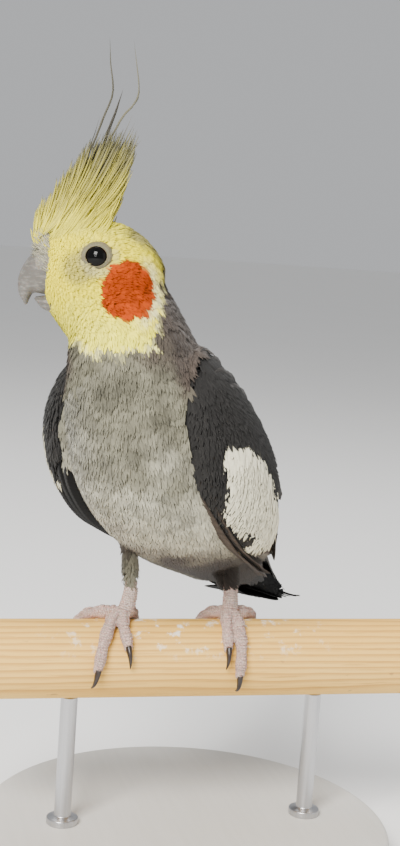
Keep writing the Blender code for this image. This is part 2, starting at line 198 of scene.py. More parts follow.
class HardSettings(bpy.types.PropertyGroup):
    """Sizes and colours of the eyes, bill, feet, perch and stand."""
    eye_radius: FloatProperty(name="Eye radius", subtype="DISTANCE", unit="LENGTH",
                              description="Radius of each eyeball", default=EYE_RADIUS * MM)
    lid_opening: FloatProperty(name="Lid opening", subtype="DISTANCE", unit="LENGTH",
                               description="Radius of the gap between the lids",
                               default=0.00285)
    perch_radius: FloatProperty(name="Perch radius", subtype="DISTANCE", unit="LENGTH",
                                description="Radius of the cut perch", default=PERCH_RADIUS)
    iris: colour("Iris brown", 15, 10, 7)
    bill: colour("Bill horn", 74, 70, 64)
    cere: colour("Cere grey", 128, 123, 112)
    toe: colour("Toe pink", 206, 176, 160)
    claw: colour("Claw brown", 50, 38, 32)
    pine: colour("Pine", 238, 178, 66)
    board: colour("Stand board", 214, 211, 204)
    steel: colour("Stand steel", 176, 176, 178)
    floor: colour("Floor", 251, 250, 248)


def turned(origin, yaw):
    """The axes and origin of a frame whose forward axis is -Y turned toward -X."""
    axes = np.array([(-math.sin(yaw), -math.cos(yaw), 0.0),
                     (math.cos(yaw), -math.sin(yaw), 0.0), (0.0, 0.0, 1.0)])
    return axes, np.array(origin, float)


def out_of(place, points):
    """Points in a frame's millimetres, in the row's metres."""
    return np.asarray(points, float) * MM @ place[0] + place[1]


def into(place, points):
    """Points in the row's metres, in a frame's millimetres."""
    return (np.asarray(points, float) - place[1]) @ place[0].T / MM


BODY = turned((FEET_X, 0.0, PERCH_TOP), BODY_YAW)
SKULL = turned(out_of(BODY, HEAD_PLACE), HEAD_YAW)


def unit(vectors):
    """Vectors of length 1."""
    return vectors / np.maximum(np.linalg.norm(vectors, axis=-1, keepdims=True), 1e-12)


def step(low, high, value):
    """Smooth rise from 0 at low to 1 at high."""
    t = np.clip((np.asarray(value, float) - low) / (high - low), 0.0, 1.0)
    return t * t * (3.0 - 2.0 * t)


def dot(first, second):
    """Products of two rows of vectors."""
    return np.einsum("ij,ij->i", first, second)


def circle(count):
    """Angles spaced evenly round a circle."""
    return np.linspace(0, 2 * np.pi, count, endpoint=False)


def spokes(ahead, up, angles):
    """Ways round a circle from one axis to another."""
    return ahead * np.cos(angles)[:, None] + up * np.sin(angles)[:, None]


def blend(first, second, share):
    """Colours or ways from the first to the second by a share for each row."""
    share = np.asarray(share, float)[..., None]
    return np.asarray(first) * (1.0 - share) + np.asarray(second) * share


def curve(table, places):
    """Catmull-Rom rows of a table at fractional row numbers."""
    rows = np.vstack([2 * table[:1] - table[1:2], table, 2 * table[-1:] - table[-2:-1]])
    places = np.clip(np.asarray(places, float), 0.0, len(table) - 1 - 1e-9)
    index = np.floor(places).astype(int)
    t = (places - index)[..., None]
    before, start, stop, after = (rows[index + k] for k in range(4))
    return 0.5 * (2 * start + (stop - before) * t
                  + (2 * before - 5 * start + 4 * stop - after) * t ** 2
                  + (3 * start - before - 3 * stop + after) * t ** 3)


def ripple(points, size, seed):
    """Soft, even mottling near -1 to 1, at points in millimetres, with patches of a size."""
    draw = np.random.default_rng(seed)
    ways = unit(draw.normal(size=(12, 3))) * (math.pi / size) * draw.uniform(0.7, 1.4, (12, 1))
    return np.sin(points @ ways.T + draw.uniform(0, 6.3, 12)).sum(1) / 3.4


def placed(name, data):
    """A new object of the scene."""
    made = bpy.data.objects.new(name, data)
    bpy.context.scene.collection.objects.link(made)
    return made


def plain_mesh(name, points, faces):
    """A mesh object from arrays of points and of faces with an equal number of corners."""
    mesh = bpy.data.meshes.new(name)
    mesh.vertices.add(len(points))
    mesh.vertices.foreach_set("co", np.asarray(points, np.float32).ravel())
    mesh.loops.add(faces.size)
    mesh.loops.foreach_set("vertex_index", np.asarray(faces, np.int32).ravel())
    mesh.polygons.add(len(faces))
    mesh.polygons.foreach_set("loop_start",
                              np.arange(0, faces.size, faces.shape[1], dtype=np.int32))
    mesh.update(calc_edges=True)
    mesh.shade_smooth()
    return placed(name, mesh)


def keep(mesh, name, values, kind="FLOAT_COLOR"):
    """Stores one colour, vector or number for each point of a mesh."""
    values = np.asarray(values, np.float32)
    if kind == "FLOAT_COLOR":
        values = np.hstack([values, np.ones((len(values), 1), np.float32)])
    layer = mesh.attributes.new(name, kind, "POINT")
    key = {"FLOAT_COLOR": "color", "FLOAT_VECTOR": "vector", "FLOAT": "value"}[kind]
    layer.data.foreach_set(key, values.ravel())


def finish_piece(piece, look, replaces=()):
    """Gives a finished piece its material, hides the CAD nodes that it stands for and sets it on
    its body.
    """
    if look:
        piece.data.materials.clear()
        piece.data.materials.append(look)
    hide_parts(*replaces)
    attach(piece, "root")


def ring_faces(rings, sides, closed=False):
    """Quads between rings of equal count, and from the last ring to the first when closed."""
    here = np.arange(rings if closed else rings - 1)[:, None]
    along = here * sides
    after_ring = (here + 1) % rings * sides
    around = np.arange(sides)[None, :]
    after = (around + 1) % sides
    return np.stack([along + around, along + after, after_ring + after,
                     after_ring + around], -1).reshape(-1, 4)


def loft(name, rings):
    """A closed body through rings of equal count, rounded off with a point at each end."""
    rings = np.asarray(rings, float)
    count, sides = rings.shape[:2]
    ends = np.array([rings[0].mean(0), rings[-1].mean(0)])
    points = np.vstack([rings.reshape(-1, 3), ends])
    quads = ring_faces(count, sides)
    around = np.arange(sides)
    after = (around + 1) % sides
    last = (count - 1) * sides
    caps = np.vstack([np.stack([after, around, np.full(sides, count * sides)], -1),
                      np.stack([last + around, last + after,
                                np.full(sides, count * sides + 1)], -1)])
    triangles = np.vstack([quads[:, (0, 1, 2)], quads[:, (0, 2, 3)], caps])
    a, b, c = (points[triangles[:, k]] - points.mean(0) for k in range(3))
    if np.einsum("ij,ij->i", a, np.cross(b, c)).sum() < 0:
        triangles = triangles[:, ::-1]
    return plain_mesh(name, points, triangles)


def frozen(made, name):
    """The evaluated mesh of an object as a plain object, in place of the first."""
    graph = bpy.context.evaluated_depsgraph_get()
    mesh = bpy.data.meshes.new_from_object(made.evaluated_get(graph))
    bpy.data.objects.remove(made)
    mesh.name = name
    return placed(name, mesh)


def one_surface(name, parts, voxel, rounds):
    """Overlapping closed parts as one smooth closed surface without seams."""
    made = joined(name, parts)
    remesh = made.modifiers.new("one surface", "REMESH")
    remesh.mode = "VOXEL"
    remesh.voxel_size = voxel
    soften = made.modifiers.new("soften", "SMOOTH")
    soften.factor = 0.5
    soften.iterations = rounds
    made = frozen(made, name)
    made.data.shade_smooth()
    return made


def mesh_points(made):
    """Places of a mesh object's points."""
    co = np.empty(len(made.data.vertices) * 3, np.float32)
    made.data.vertices.foreach_get("co", co)
    return co.reshape(-1, 3).astype(float)


def mesh_triangles(made):
    """Corners of a mesh object's triangles."""
    made.data.calc_loop_triangles()
    corners = np.empty(len(made.data.loop_triangles) * 3, np.int32)
    made.data.loop_triangles.foreach_get("vertices", corners)
    return corners.reshape(-1, 3)


def joined(name, parts):
    """Several plain objects as one."""
    offset = 0
    points = []
    faces = []
    for part in parts:
        points.append(mesh_points(part))
        faces.append(mesh_triangles(part) + offset)
        offset += len(points[-1])
        bpy.data.objects.remove(part)
    return plain_mesh(name, np.vstack(points), np.vstack(faces))


def point_tree(points):
    """A search tree over points."""
    tree = KDTree(len(points))
    for index, point in enumerate(points.tolist()):
        tree.insert(point, index)
    tree.balance()
    return tree


def spine_frames(places):
    """Centre, side, belly-ward and tail-ward axes and radii at rows of the middle line."""
    rows = curve(SPINE, places)
    ahead = curve(SPINE, places + 0.05)[:, :3] - curve(SPINE, places - 0.05)[:, :3]
    along = unit(ahead @ BODY[0])
    left = BODY[0][1]
    belly = unit(np.cross(left, along))
    side = unit(np.cross(along, belly))
    return out_of(BODY, rows[:, :3]), side, belly, -along, rows[:, 3:] * MM


SPINE_PLACES = np.linspace(0.0, len(SPINE) - 1.0, 240)
SPINE_SET = spine_frames(SPINE_PLACES)


def along_spine(points):
    """For points near the body: row number, turn round the spine, tail-ward axis, dorsal share."""
    centres, side, belly, tailward, radii = SPINE_SET
    gap = np.linalg.norm(points[:, None] - centres[None], axis=2)
    index = gap.argmin(1)
    away = points - centres[index]
    aside = dot(away, side[index]) / radii[index, 0]
    under = dot(away, belly[index]) / radii[index, 1]
    return SPINE_PLACES[index], np.arctan2(aside, under), tailward[index], -under


def body_unwrap(row, turn):
    """Places on an unwrap of the body from row numbers and turns round the spine."""
    return np.column_stack([turn / (2 * np.pi) + 0.5, row / (len(SPINE) - 1)])


def head_half_width(forward, up):
    """How far the head's side stands out from its middle plane, in millimetres."""
    rows = curve(HEAD, np.linspace(0, len(HEAD) - 1, 400))
    row = rows[np.abs(rows[:, 0] - forward).argmin()]
    middle = row[2] + CHEEK_RISE * (row[1] - row[2])
    rise = row[1] - middle if up > middle else middle - row[2]
    return row[3] * math.sqrt(max(1.0 - ((up - middle) / rise) ** 2, 0.0))


def wing_point(places, share, sign, lift=0.0):
    """Points on the outer side of a folded wing: row number, share of the way from its lower
    to its upper edge, and how far off the surface in millimetres. Also the outward axis."""
    rows = curve(WING, places)
    forward, low_left, low_up, top_left, top_up, bulge = (rows[..., k] for k in range(6))
    middle = -4.4 + 0.17 * np.minimum(forward + 30.0, 0.0)
    low = np.stack([forward, middle + sign * (low_left - middle), low_up], -1)
    top = np.stack([forward, middle + sign * (top_left - middle), top_up], -1)
    chord = top - low
    out = unit(np.stack([np.zeros_like(forward), sign * chord[..., 2],
                         -sign * chord[..., 1]], -1))
    arch = np.sin(np.pi * np.clip(share, 0.0, 1.0) ** 0.8)
    point = low + chord * np.asarray(share)[..., None]
    point = point + out * (bulge * arch + 0.35 + lift)[..., None]
    return point, out


def arithmetic(operation, swapped=False):
    """A method that joins a socket and another value in a math node."""
    def join(self, other):
        """One math node with both values."""
        pair = (other, self) if swapped else (self, other)
        return self.paint.node("ShaderNodeMath", {"operation": operation},
                               dict(enumerate(pair)))
    return join


class Value:
    """A shader socket that takes part in plain arithmetic."""

    def __init__(self, paint, socket):
        self.paint = paint
        self.socket = socket

    __add__ = arithmetic("ADD")
    __radd__ = arithmetic("ADD", swapped=True)
    __sub__ = arithmetic("SUBTRACT")
    __rsub__ = arithmetic("SUBTRACT", swapped=True)
    __mul__ = arithmetic("MULTIPLY")
    __rmul__ = arithmetic("MULTIPLY", swapped=True)

    def __abs__(self):
        return self.paint.node("ShaderNodeMath", {"operation": "ABSOLUTE"}, {0: self})


class Paint:
    """One material and the nodes that make its look."""

    def __init__(self, name, **constants):
        self.material = bpy.data.materials.new(name)
        self.material.use_nodes = True
        self.tree = self.material.node_tree
        self.shader = self.tree.nodes["Principled BSDF"]
        for key, value in constants.items():
            self.shader.inputs[key.replace("_", " ")].default_value = value

    def node(self, kind, settings=None, inputs=None, output=0):
        """One new node with its settings and inputs, as the value of one of its outputs."""
        made = self.tree.nodes.new(kind)
        for key, value in (settings or {}).items():
            if key == "stops":
                ramp = made.color_ramp.elements
                while len(ramp) < len(value):
                    ramp.new(0.5)
                for element, (place, shade) in zip(ramp, value):
                    element.position = place
                    element.color = shade if len(shade) == 4 else (*shade, 1.0)
            else:
                setattr(made, key, value)
        for key, value in (inputs or {}).items():
            socket = made.inputs[key]
            if isinstance(value, Value):
                self.tree.links.new(value.socket, socket)
            elif isinstance(value, tuple) and len(value) == 3 and socket.type == "RGBA":
                socket.default_value = (*value, 1.0)
            else:
                socket.default_value = value
        return Value(self, made.outputs[output])

    def mix(self, share, first, second, way="MIX"):
        """Two colours mixed by a share."""
        return self.node("ShaderNodeMix", {"data_type": "RGBA", "blend_type": way},
                         {0: share, 6: first, 7: second}, 2)

    def place(self, scale=(1.0, 1.0, 1.0), turn=(0, 0, 0)):
        """Object coordinates, stretched and turned."""
        coords = self.node("ShaderNodeTexCoord", output=3)
        return self.node("ShaderNodeMapping", None,
                         {"Vector": coords, "Scale": scale, "Rotation": turn})

    def noise(self, scale, detail=3.0, rough=0.5, stretch=(1.0, 1.0, 1.0), turn=(0, 0, 0)):
        """Soft noise over the object, from 0 to 1."""
        return self.node("ShaderNodeTexNoise", None,
                         {"Vector": self.place(stretch, turn), "Scale": scale,
                          "Detail": detail, "Roughness": rough})

    def layers(self, tone, *coats):
        """The base colour: tones laid over each other, each by its own share."""
        for share, shade in coats:
            tone = self.mix(share, tone, shade)
        self.set("Base Color", tone)

    def attribute(self, name, output=0):
        """A value that the mesh keeps for each point."""
        return self.node("ShaderNodeAttribute", {"attribute_name": name}, None, output)

    def split(self, vector):
        """The three parts of a vector."""
        made = self.tree.nodes.new("ShaderNodeSeparateXYZ")
        self.tree.links.new(vector.socket, made.inputs[0])
        return [Value(self, output) for output in made.outputs]

    def span(self, value, low, high, start=0.0, stop=1.0):
        """A value taken from one range to another, and held at its ends."""
        return self.node("ShaderNodeMapRange", {"interpolation_type": "SMOOTHSTEP"},
                         {0: value, 1: low, 2: high, 3: start, 4: stop})

    def set(self, key, value):
        """Feeds one input of the shader."""
        self.tree.links.new(value.socket, self.shader.inputs[key])

    def bump(self, height, strength=0.5, distance=0.0003):
        """Fine relief from a height."""
        self.set("Normal", self.node("ShaderNodeBump", None,
                                     {"Strength": strength, "Distance": distance,
                                      "Height": height}))


def markings(points, seed=3):
    """The cockatiel's colours at points on its skin, as linear red, green and blue, with painted
    shade on the underside of the lower belly.
    """
    plumage = bpy.context.scene.cockatiel_plumage
    x, _, z = into(SKULL, points).T
    body = into(BODY, points)
    row, _, _, dorsal = along_spine(points)
    fine = ripple(body, 2.2, seed)
    broad = ripple(body, 7.0, seed + 1)

    grey = blend(plumage.breast, plumage.belly, step(9.4, 7.2, row + 0.5 * broad))
    upper = dorsal + 0.14 * broad + 0.5 * step(9.0, 10.6, row)
    grey = blend(grey, plumage.back, step(-0.3, 0.12, upper))
    flank = step(6.6, 5.4, row + 1.6 * np.minimum(dorsal, 0.0) + 0.3 * broad)
    grey = blend(grey, np.array(plumage.back) * 1.2, flank)
    # Painted shade: the underside of the lower belly and the body's lowest part over the perch are
    # darkened as if in shade
    under = step(7.8, 6.2, row) * step(-0.2, -0.75, dorsal)
    grey = grey * (1.0 - 0.6 * under)[:, None]
    grey = grey * (1.0 - 0.42 * step(30.0, 16.0, body[:, 2]) * step(5.0, 6.0, row))[:, None]
    far_leg = step(-2.0, -7.0, body[:, 1]) * step(24.0, 16.0, body[:, 2])
    grey = blend(grey, np.array(plumage.breast) * 0.9, 0.8 * far_leg)
    patches = ripple(body, 3.6, seed + 2)
    grey = grey * (1.0 + 0.12 * fine + 0.16 * patches + 0.16 * broad)[:, None]
    vent = step(5.5, 5.1, row + 0.08 * fine) * step(0.3, -0.1, dorsal)
    grey = blend(grey, plumage.tail, vent)

    face = blend(plumage.face, plumage.throat, step(-4.0, -17.0, z + 2.0 * fine))
    face = blend(face, plumage.crown, step(6.5, 11.0, z + fine))
    lore = step(6.4, 2.6, np.hypot((x - 6.2) / 1.1, z - 0.8))
    face = blend(face, tint(146, 138, 92), 0.72 * lore)
    ring = step(6.4, 4.2, np.hypot(x - EYE_PLACE[0], z - EYE_PLACE[1]))
    face = blend(face, tint(178, 170, 120), 0.7 * ring * step(8.5, 5.5, z))
    rear = step(0.0, 2.4, np.hypot(x + 2.0, z) + 0.28 * z - 12.4 + 0.5 * fine)
    rear = rear * step(-3.0, -7.0, x) * step(-9.0, -4.0, z)
    face = blend(face, tint(96, 90, 60), 0.85 * rear)
    face = face * (1.0 + 0.035 * fine)[:, None]

    reach = np.hypot((x - CHEEK_PATCH[0]) / CHEEK_PATCH[2], (z - CHEEK_PATCH[1]) / CHEEK_PATCH[3])
    reach = reach + 0.03 * fine
    pale = step(1.5, 1.05, reach) * step(-8.0, -13.0, x)
    face = blend(face, tint(240, 232, 176), 0.8 * pale)
    orange = np.array(plumage.cheek) * (1.0 + 0.16 * fine + 0.1 * broad)[:, None]
    face = blend(face, orange, step(1.03, 0.95, reach))

    border = np.interp(x, MASK_FORWARD, MASK_UP)
    inside = np.minimum(x - MASK_BACK, z - border) + 0.8 * fine + 0.5 * broad
    nape = step(-3.0, -9.5, x) * step(6.5, 10.5, z)
    olive = blend(plumage.crown, tint(140, 132, 104), 0.7)
    face = blend(face, olive, 0.85 * nape)
    fringe = step(1.8, 0.2, inside) * step(3.0, -5.0, z)
    face = blend(face, tint(238, 233, 190), 0.6 * fringe)
    return np.clip(blend(grey, face, step(-0.5, 0.9, inside)), 0.0, 1.0)


def flattened(way, normals):
    """Ways pressed flat against a surface with these normals."""
    return unit(way - normals * dot(way, normals)[:, None])


def lie(points, normals):
    """The way the coat lies at points on the skin, along its surface."""
    head = into(SKULL, points)
    way = along_spine(points)[2]
    outward = unit(head - np.array(BILL_ROOT)) @ SKULL[0]
    round_head = 1.0 - step(17.0, 25.0, np.linalg.norm(head - (-1.0, 0.0, -4.0), axis=1))
    round_head = round_head * step(-17.0, -7.0, head[:, 0])
    way = blend(way, outward, round_head)
    rising = (step(4.5, 9.0, head[:, 2]) * step(-4.0, 1.5, head[:, 0])
              * step(24.0, 21.0, head[:, 0]))
    way = blend(way, unit(SKULL[0][2] - 0.45 * SKULL[0][0]), 0.85 * rising)
    down = np.tile((0.0, 0.0, -1.0), (len(way), 1))
    for table in THIGHS.values():
        table = np.array(table)
        middle = table[0, :3] * MM * 0.4 + table[1, :3] * MM * 0.6
        reach = np.linalg.norm((points - middle) * (1.0, 1.0, 0.6), axis=1)
        under = step(96.0, 88.0, points[:, 2] / MM)
        way = blend(way, down, step(0.012, 0.005, reach) * under)
    return flattened(way, normals)


class Surface:
    """A closed skin that feather rows are laid on."""

    def __init__(self, made):
        self.points = mesh_points(made)
        self.faces = mesh_triangles(made)
        self.tree = BVHTree.FromPolygons(self.points.tolist(), self.faces.tolist())
        corner = self.points[self.faces]
        straight_out = np.cross(corner[:, 1] - corner[:, 0], corner[:, 2] - corner[:, 0])
        self.area = np.linalg.norm(straight_out, axis=1) / 2
        normals = np.zeros_like(self.points)
        for k in range(3):
            np.add.at(normals, self.faces[:, k], straight_out)
        self.normals = unit(normals)

    def settle(self, points):
        """The nearest places on the skin and its smooth normals there."""
        found = [self.tree.find_nearest(Vector(point)) for point in points.tolist()]
        places = np.array([hit[0] for hit in found])
        corners = self.faces[[hit[2] for hit in found]]
        share = 1.0 / (np.linalg.norm(self.points[corners] - places[:, None], axis=2) + 1e-7)
        normals = (self.normals[corners] * share[..., None]).sum(1)
        return places, unit(normals)

    def scatter(self, tries, spacing, draw):
        """Roots spread evenly over the skin, as far apart as spacing says for each."""
        middles = self.points[self.faces].mean(1)
        room = spacing(middles)
        weight = np.where(room > 0, self.area / np.maximum(room, 1e-6) ** 2, 0.0)
        chosen = draw.choice(len(self.faces), tries, p=weight / weight.sum())
        first, second = draw.random((2, tries))
        flip = first + second > 1
        first[flip], second[flip] = 1 - first[flip], 1 - second[flip]
        corner = self.points[self.faces[chosen]]
        places = (corner[:, 0] + first[:, None] * (corner[:, 1] - corner[:, 0])
                  + second[:, None] * (corner[:, 2] - corner[:, 0]))
        room = spacing(places)
        tree = point_tree(places)
        alive = room > 0
        kept = []
        for index in range(tries):
            if alive[index]:
                kept.append(index)
                for _, other, _ in tree.find_range(places[index].tolist(), room[index]):
                    alive[other] = False
        return places[kept]

    def march(self, roots, lengths, shares, lift, sway, flow=lie):
        """Middle lines of barbs that start at roots and follow the flow over the skin."""
        places, normals = self.settle(roots)
        line, ups = [places + normals * lift[0][:, None]], [normals]
        for index in range(1, len(shares)):
            way = flow(places, normals)
            aside = np.cross(normals, way)
            way = unit(way + aside * sway[:, None])
            run = lengths * (shares[index] - shares[index - 1])
            places, normals = self.settle(places + way * run[:, None])
            line.append(places + normals * lift[index][:, None])
            ups.append(normals)
        return np.stack(line, 1), np.stack(ups, 1)

    def fans(self, roots, length, depth, draw, spread=0.24, flow=lie, wander=0.13,
             rise=(-0.15, 0.5, 0.82, 1.0)):
        """Tufts of BARBS slender barbs each, spread from one root, with the tuft of each."""
        count = len(roots)
        each = np.repeat(np.arange(count), BARBS)
        fan = np.tile(np.linspace(-1.0, 1.0, BARBS), count)
        places, normals = self.settle(roots)
        aside = np.cross(normals, flow(places, normals))[each]
        starts = roots[each] + aside * (0.06 * fan * length[each])[:, None]
        run = length[each] * (1.0 - 0.2 * fan ** 2) * draw.uniform(0.88, 1.08, len(each))
        sway = draw.normal(0.0, wander, count)[each] + spread * fan
        sway = sway + draw.normal(0.0, 0.04, len(each))
        high = depth[each] * (1.0 - 0.22 * fan ** 2)
        lift = [high * part for part in rise]
        lines, ups = self.march(starts, run, (0.0, 0.33, 0.66, 1.0), lift, sway, flow)
        straight = np.linalg.norm(lines[:, -1] - lines[:, 0], axis=1) > 0.75 * run
        straight &= dot(ups[:, 0], ups[:, -1]) > 0.25
        return each[straight], lines[straight], ups[straight]


def vane_faces(rows, columns):
    """Quads of both sides of one thin closed vane, whose rims are shared."""
    top = np.arange(rows * columns).reshape(rows, columns)
    under = top.copy()
    inner = np.arange((rows - 2) * (columns - 2)).reshape(rows - 2, columns - 2)
    under[1:-1, 1:-1] = inner + rows * columns
    sides = []
    for sheet, order in ((top, (0, 1, 2, 3)), (under, (0, 3, 2, 1))):
        quads = np.stack([sheet[:-1, :-1], sheet[:-1, 1:], sheet[1:, 1:], sheet[1:, :-1]], -1)
        sides.append(quads.reshape(-1, 4)[:, order])
    return np.vstack(sides)


def both_sheets(top, under):
    """Values of all points of a vane's upper sheet, and of the inner points of its lower one."""
    return np.concatenate([top.reshape(len(top), -1, 3), under.reshape(len(top), -1, 3)], 1)


def vanes(name, lines, ups, wide, marks, roots, draw, columns=5, thick=0.00016, cup=0.25,
          fray=0.16, round_tip=0.12, base=0.35, peak=0.62, tip=0.45, soft=False):
    """One mesh of many thin feathers. Each has a middle line, the way up along it, a half
    width, a colour (or one for each row) and its root's place on an unwrap of the skin."""
    count, rows = lines.shape[:2]
    shares = np.linspace(0.0, 1.0, rows)
    along = unit(np.gradient(lines, axis=1))
    side = unit(np.cross(along, ups))
    up = np.cross(side, along)
    body = np.where(shares < peak, base + (1 - base) * np.sin(0.5 * np.pi * shares / peak),
                    tip + (1 - tip) * np.cos(0.5 * np.pi * (shares - peak) / (1 - peak)) ** 0.7)
    x = np.linspace(-1.0, 1.0, columns)
    half = wide[:, None] * body[None]
    length = np.linalg.norm(lines[:, -1] - lines[:, 0], axis=1)
    back = round_tip * x[None, None, :] ** 2 * shares[None, :, None] ** 3
    notch = np.zeros((count, rows, columns))
    notch[:, -1, 1::2] = fray * draw.uniform(0.5, 1.5, (count, columns // 2))
    notch[:, -1, 0::2] = fray * draw.uniform(-0.3, 0.5, (count, columns - columns // 2))
    slide = -(back + notch) * length[:, None, None]
    top = (lines[:, :, None] + side[:, :, None] * (half[..., None] * x)[..., None]
           + along[:, :, None] * slide[..., None]
           - up[:, :, None] * (cup * half[..., None] * x ** 2)[..., None])
    depth = thick * (1 - shares[1:-1] ** 2)[None, :, None] + 0.00004
    under = top[:, 1:-1, 1:-1] - up[:, 1:-1, None] * (depth * np.ones(columns - 2))[..., None]
    points = both_sheets(top, under)
    template = vane_faces(rows, columns)
    each = points.shape[1]
    faces = (template[None] + np.arange(count)[:, None, None] * each).reshape(-1, 4)
    made = plain_mesh(name, points.reshape(-1, 3), faces)

    across = np.broadcast_to(x, (rows, columns))
    down = np.broadcast_to(shares[:, None], (rows, columns))
    sheet = np.stack([across, down], -1)
    sheet = np.vstack([sheet.reshape(-1, 2), sheet[1:-1, 1:-1].reshape(-1, 2)])
    grain = np.repeat(draw.random(count), each)
    keep(made.data, "blade", np.column_stack([np.tile(sheet, (count, 1)), grain]), "FLOAT_VECTOR")
    shade = np.broadcast_to(marks.reshape(count, -1, 1, 3), (count, rows, columns, 3))
    keep(made.data, "marks", both_sheets(shade, shade[:, 1:-1, 1:-1]).reshape(-1, 3))

    if soft:
        facing = ups[:, :, None].repeat(columns, 2) + side[:, :, None] * (0.3 * x)[:, None]
        facing = both_sheets(facing, -ups[:, 1:-1, None].repeat(columns - 2, 2))
        made.data.normals_split_custom_set_from_vertices(unit(facing).reshape(-1, 3))

    patch = np.empty((len(template), 4, 2))
    flat = sheet[template]
    second = np.arange(len(template)) >= len(template) // 2
    patch[..., 0] = (flat[..., 0] + 1) / 4 + 0.5 * second[:, None]
    patch[..., 1] = flat[..., 1]
    corner = np.clip(np.asarray(roots), 0.0, 1.0) * 0.995 + 0.001
    uv = corner[:, None, None] + patch[None] * 0.003
    layer = made.data.uv_layers.new(name="OFBake")
    layer.uv.foreach_set("vector", uv.astype(np.float32).ravel())
    return made


def coat_look(name, streak=0.25, gloss=0.78, shaft=0.0, mottle=0.22, soft=0.0, sheen=0.18):
    """Feathers: the markings, broken by barbs, a darker root that is painted shade where each
    feather lies under the ones above it, and, on long vanes, a shaft.
    """
    look = Paint(name, Roughness=gloss, Sheen_Weight=sheen, Sheen_Roughness=0.5,
                 Specular_IOR_Level=0.03 + 0.8 * sheen, Subsurface_Weight=soft,
                 Subsurface_Scale=0.0012, Subsurface_Radius=(1.0, 1.0, 1.0))
    across, along, grain = look.split(look.attribute("blade", 1))
    aside = abs(across)
    barb = look.node("ShaderNodeTexNoise", {"noise_dimensions": "1D"},
                     {"W": (along * 7.0 - aside * 2.6) * 7.0 + grain * 90.0,
                      "Scale": 1.0, "Detail": 2.0, "Roughness": 0.6})
    cloud = look.noise(330.0, 3.0, 0.6)
    # Painted shade: each feather darkens towards its root, where the feathers above it would shade
    # it
    root = look.span(along, 0.0, 0.5, 0.88, 1.0)
    value = root * (1.0 - streak / 2 + barb * streak) * (1.0 - mottle / 2 + cloud * mottle)
    value = value * (0.93 + grain * 0.14)
    if shaft:
        value = value * (1.0 - look.span(aside, 0.03, 0.09, shaft, 0.0))
    look.set("Base Color", look.mix(1.0, look.attribute("marks"), value, "MULTIPLY"))
    look.bump(barb + cloud, 0.35, 0.0002)
    return look.material


def skin_look():
    """Bare skin under the coat: the markings, darkened by pores and down."""
    look = Paint("bird_skin", Roughness=0.7, Specular_IOR_Level=0.3)
    pore = look.noise(900.0, 4.0, 0.6)
    down = look.noise(2400.0, 2.0, 0.7, stretch=(1.0, 1.0, 0.4))
    shade = 0.62 + 0.3 * pore + 0.22 * down
    look.set("Base Color", look.mix(1.0, look.attribute("marks"), shade, "MULTIPLY"))
    look.bump(pore + down, 0.5, 0.0004)
    return look.material


def skin_parts(plumage):
    """Shrunken closed bodies of the trunk, head, wings and thighs, which the skin joins."""
    body = plumage.body_depth / MM
    skull = plumage.head_depth / MM
    turns = circle(40)
    centres, side, belly, _, radii = spine_frames(np.linspace(RUMP_ROW, len(SPINE) - 1, 60))
    radii = np.maximum(radii - body * MM, THINNEST)
    trunk = (centres[:, None] + side[:, None] * (radii[:, 0, None] * np.cos(turns))[..., None]
             + belly[:, None] * (radii[:, 1, None] * np.sin(turns))[..., None])
    parts = [loft("skin_trunk", trunk)]

    rows = curve(HEAD, np.linspace(0, len(HEAD) - 1, 36))
    forward, top, bottom, wide = rows.T
    forward = forward * 0.97
    top, bottom, wide = top - skull, bottom + skull, np.maximum(wide - skull, 1.2)
    middle = bottom + CHEEK_RISE * (top - bottom)
    rise = np.where(np.sin(turns) > 0, (top - middle)[:, None], (middle - bottom)[:, None])
    ring = np.stack([np.broadcast_to(forward[:, None], rise.shape), wide[:, None] * np.cos(turns),
                     middle[:, None] + rise * np.sin(turns)], -1)
    parts.append(loft("skin_head", out_of(SKULL, ring)))

    share = np.linspace(0.03, 0.97, 14)
    places = np.linspace(0.25, WING_FLESH - 0.5, 30)[:, None]
    inward = np.interp(places, (0.25, 3.0, WING_FLESH - 0.5), (6.0, 6.0, 2.4))
    for sign in (1, -1):
        outer, out = wing_point(places + 0 * share, share + 0 * places, sign,
                                SKIN_UNDER_WING)
        inner = outer - out * inward[..., None]
        ring = np.concatenate([outer, inner[:, ::-1]], 1)
        parts.append(loft("skin_wing", out_of(BODY, ring)))

    for table in THIGHS.values():
        rows = curve(np.array(table), np.linspace(0, 2, 12))
        across = np.stack([np.cos(turns), np.sin(turns), 0 * turns], -1)
        radii = np.maximum(rows[:, 3] - 1.3, 1.5)
        ring = rows[:, None, :3] + across[None] * radii[:, None, None]
        parts.append(loft("skin_thigh", ring * MM))
    return parts


def coat_lengths(points):
    """Length of the small feathers at places on the skin, in millimetres."""
    head = into(SKULL, points)
    row = along_spine(points)[0]
    near = np.linalg.norm(head - np.array(BILL_ROOT), axis=1)
    face = np.interp(near, (4, 10, 18, 28, 40), (1.4, 1.9, 2.5, 3.6, 5.2))
    body = np.interp(row, (3.5, 5.0, 7.0, 9.0, 11.0, 13.0), (11.0, 10.5, 9.0, 7.5, 6.0, 4.8))
    length = blend(body[:, None], face[:, None], step(32.0, 24.0, near))[:, 0]
    leg = step(101.0, 88.0, points[:, 2] / MM) * step(-40.0, -25.0, into(BODY, points)[:, 0])
    return blend(length[:, None], np.full((len(length), 1), 4.2), leg)[:, 0]


def wing_nearest(points):
    """The nearest place and share on the folded wings' outer sides, and how far off, in mm."""
    share, places = np.meshgrid(np.linspace(0, 1, 40), np.linspace(0.15, 4.6, 60))
    cloud = np.vstack([wing_point(places, share, sign, SKIN_UNDER_WING)[0].reshape(-1, 3)
                       for sign in (1, -1)])
    tree = point_tree(cloud)
    found = [tree.find(point)[1:] for point in into(BODY, points).tolist()]
    index, away = np.array(found).T
    index = index.astype(int) % places.size
    return places.ravel()[index], share.ravel()[index], away


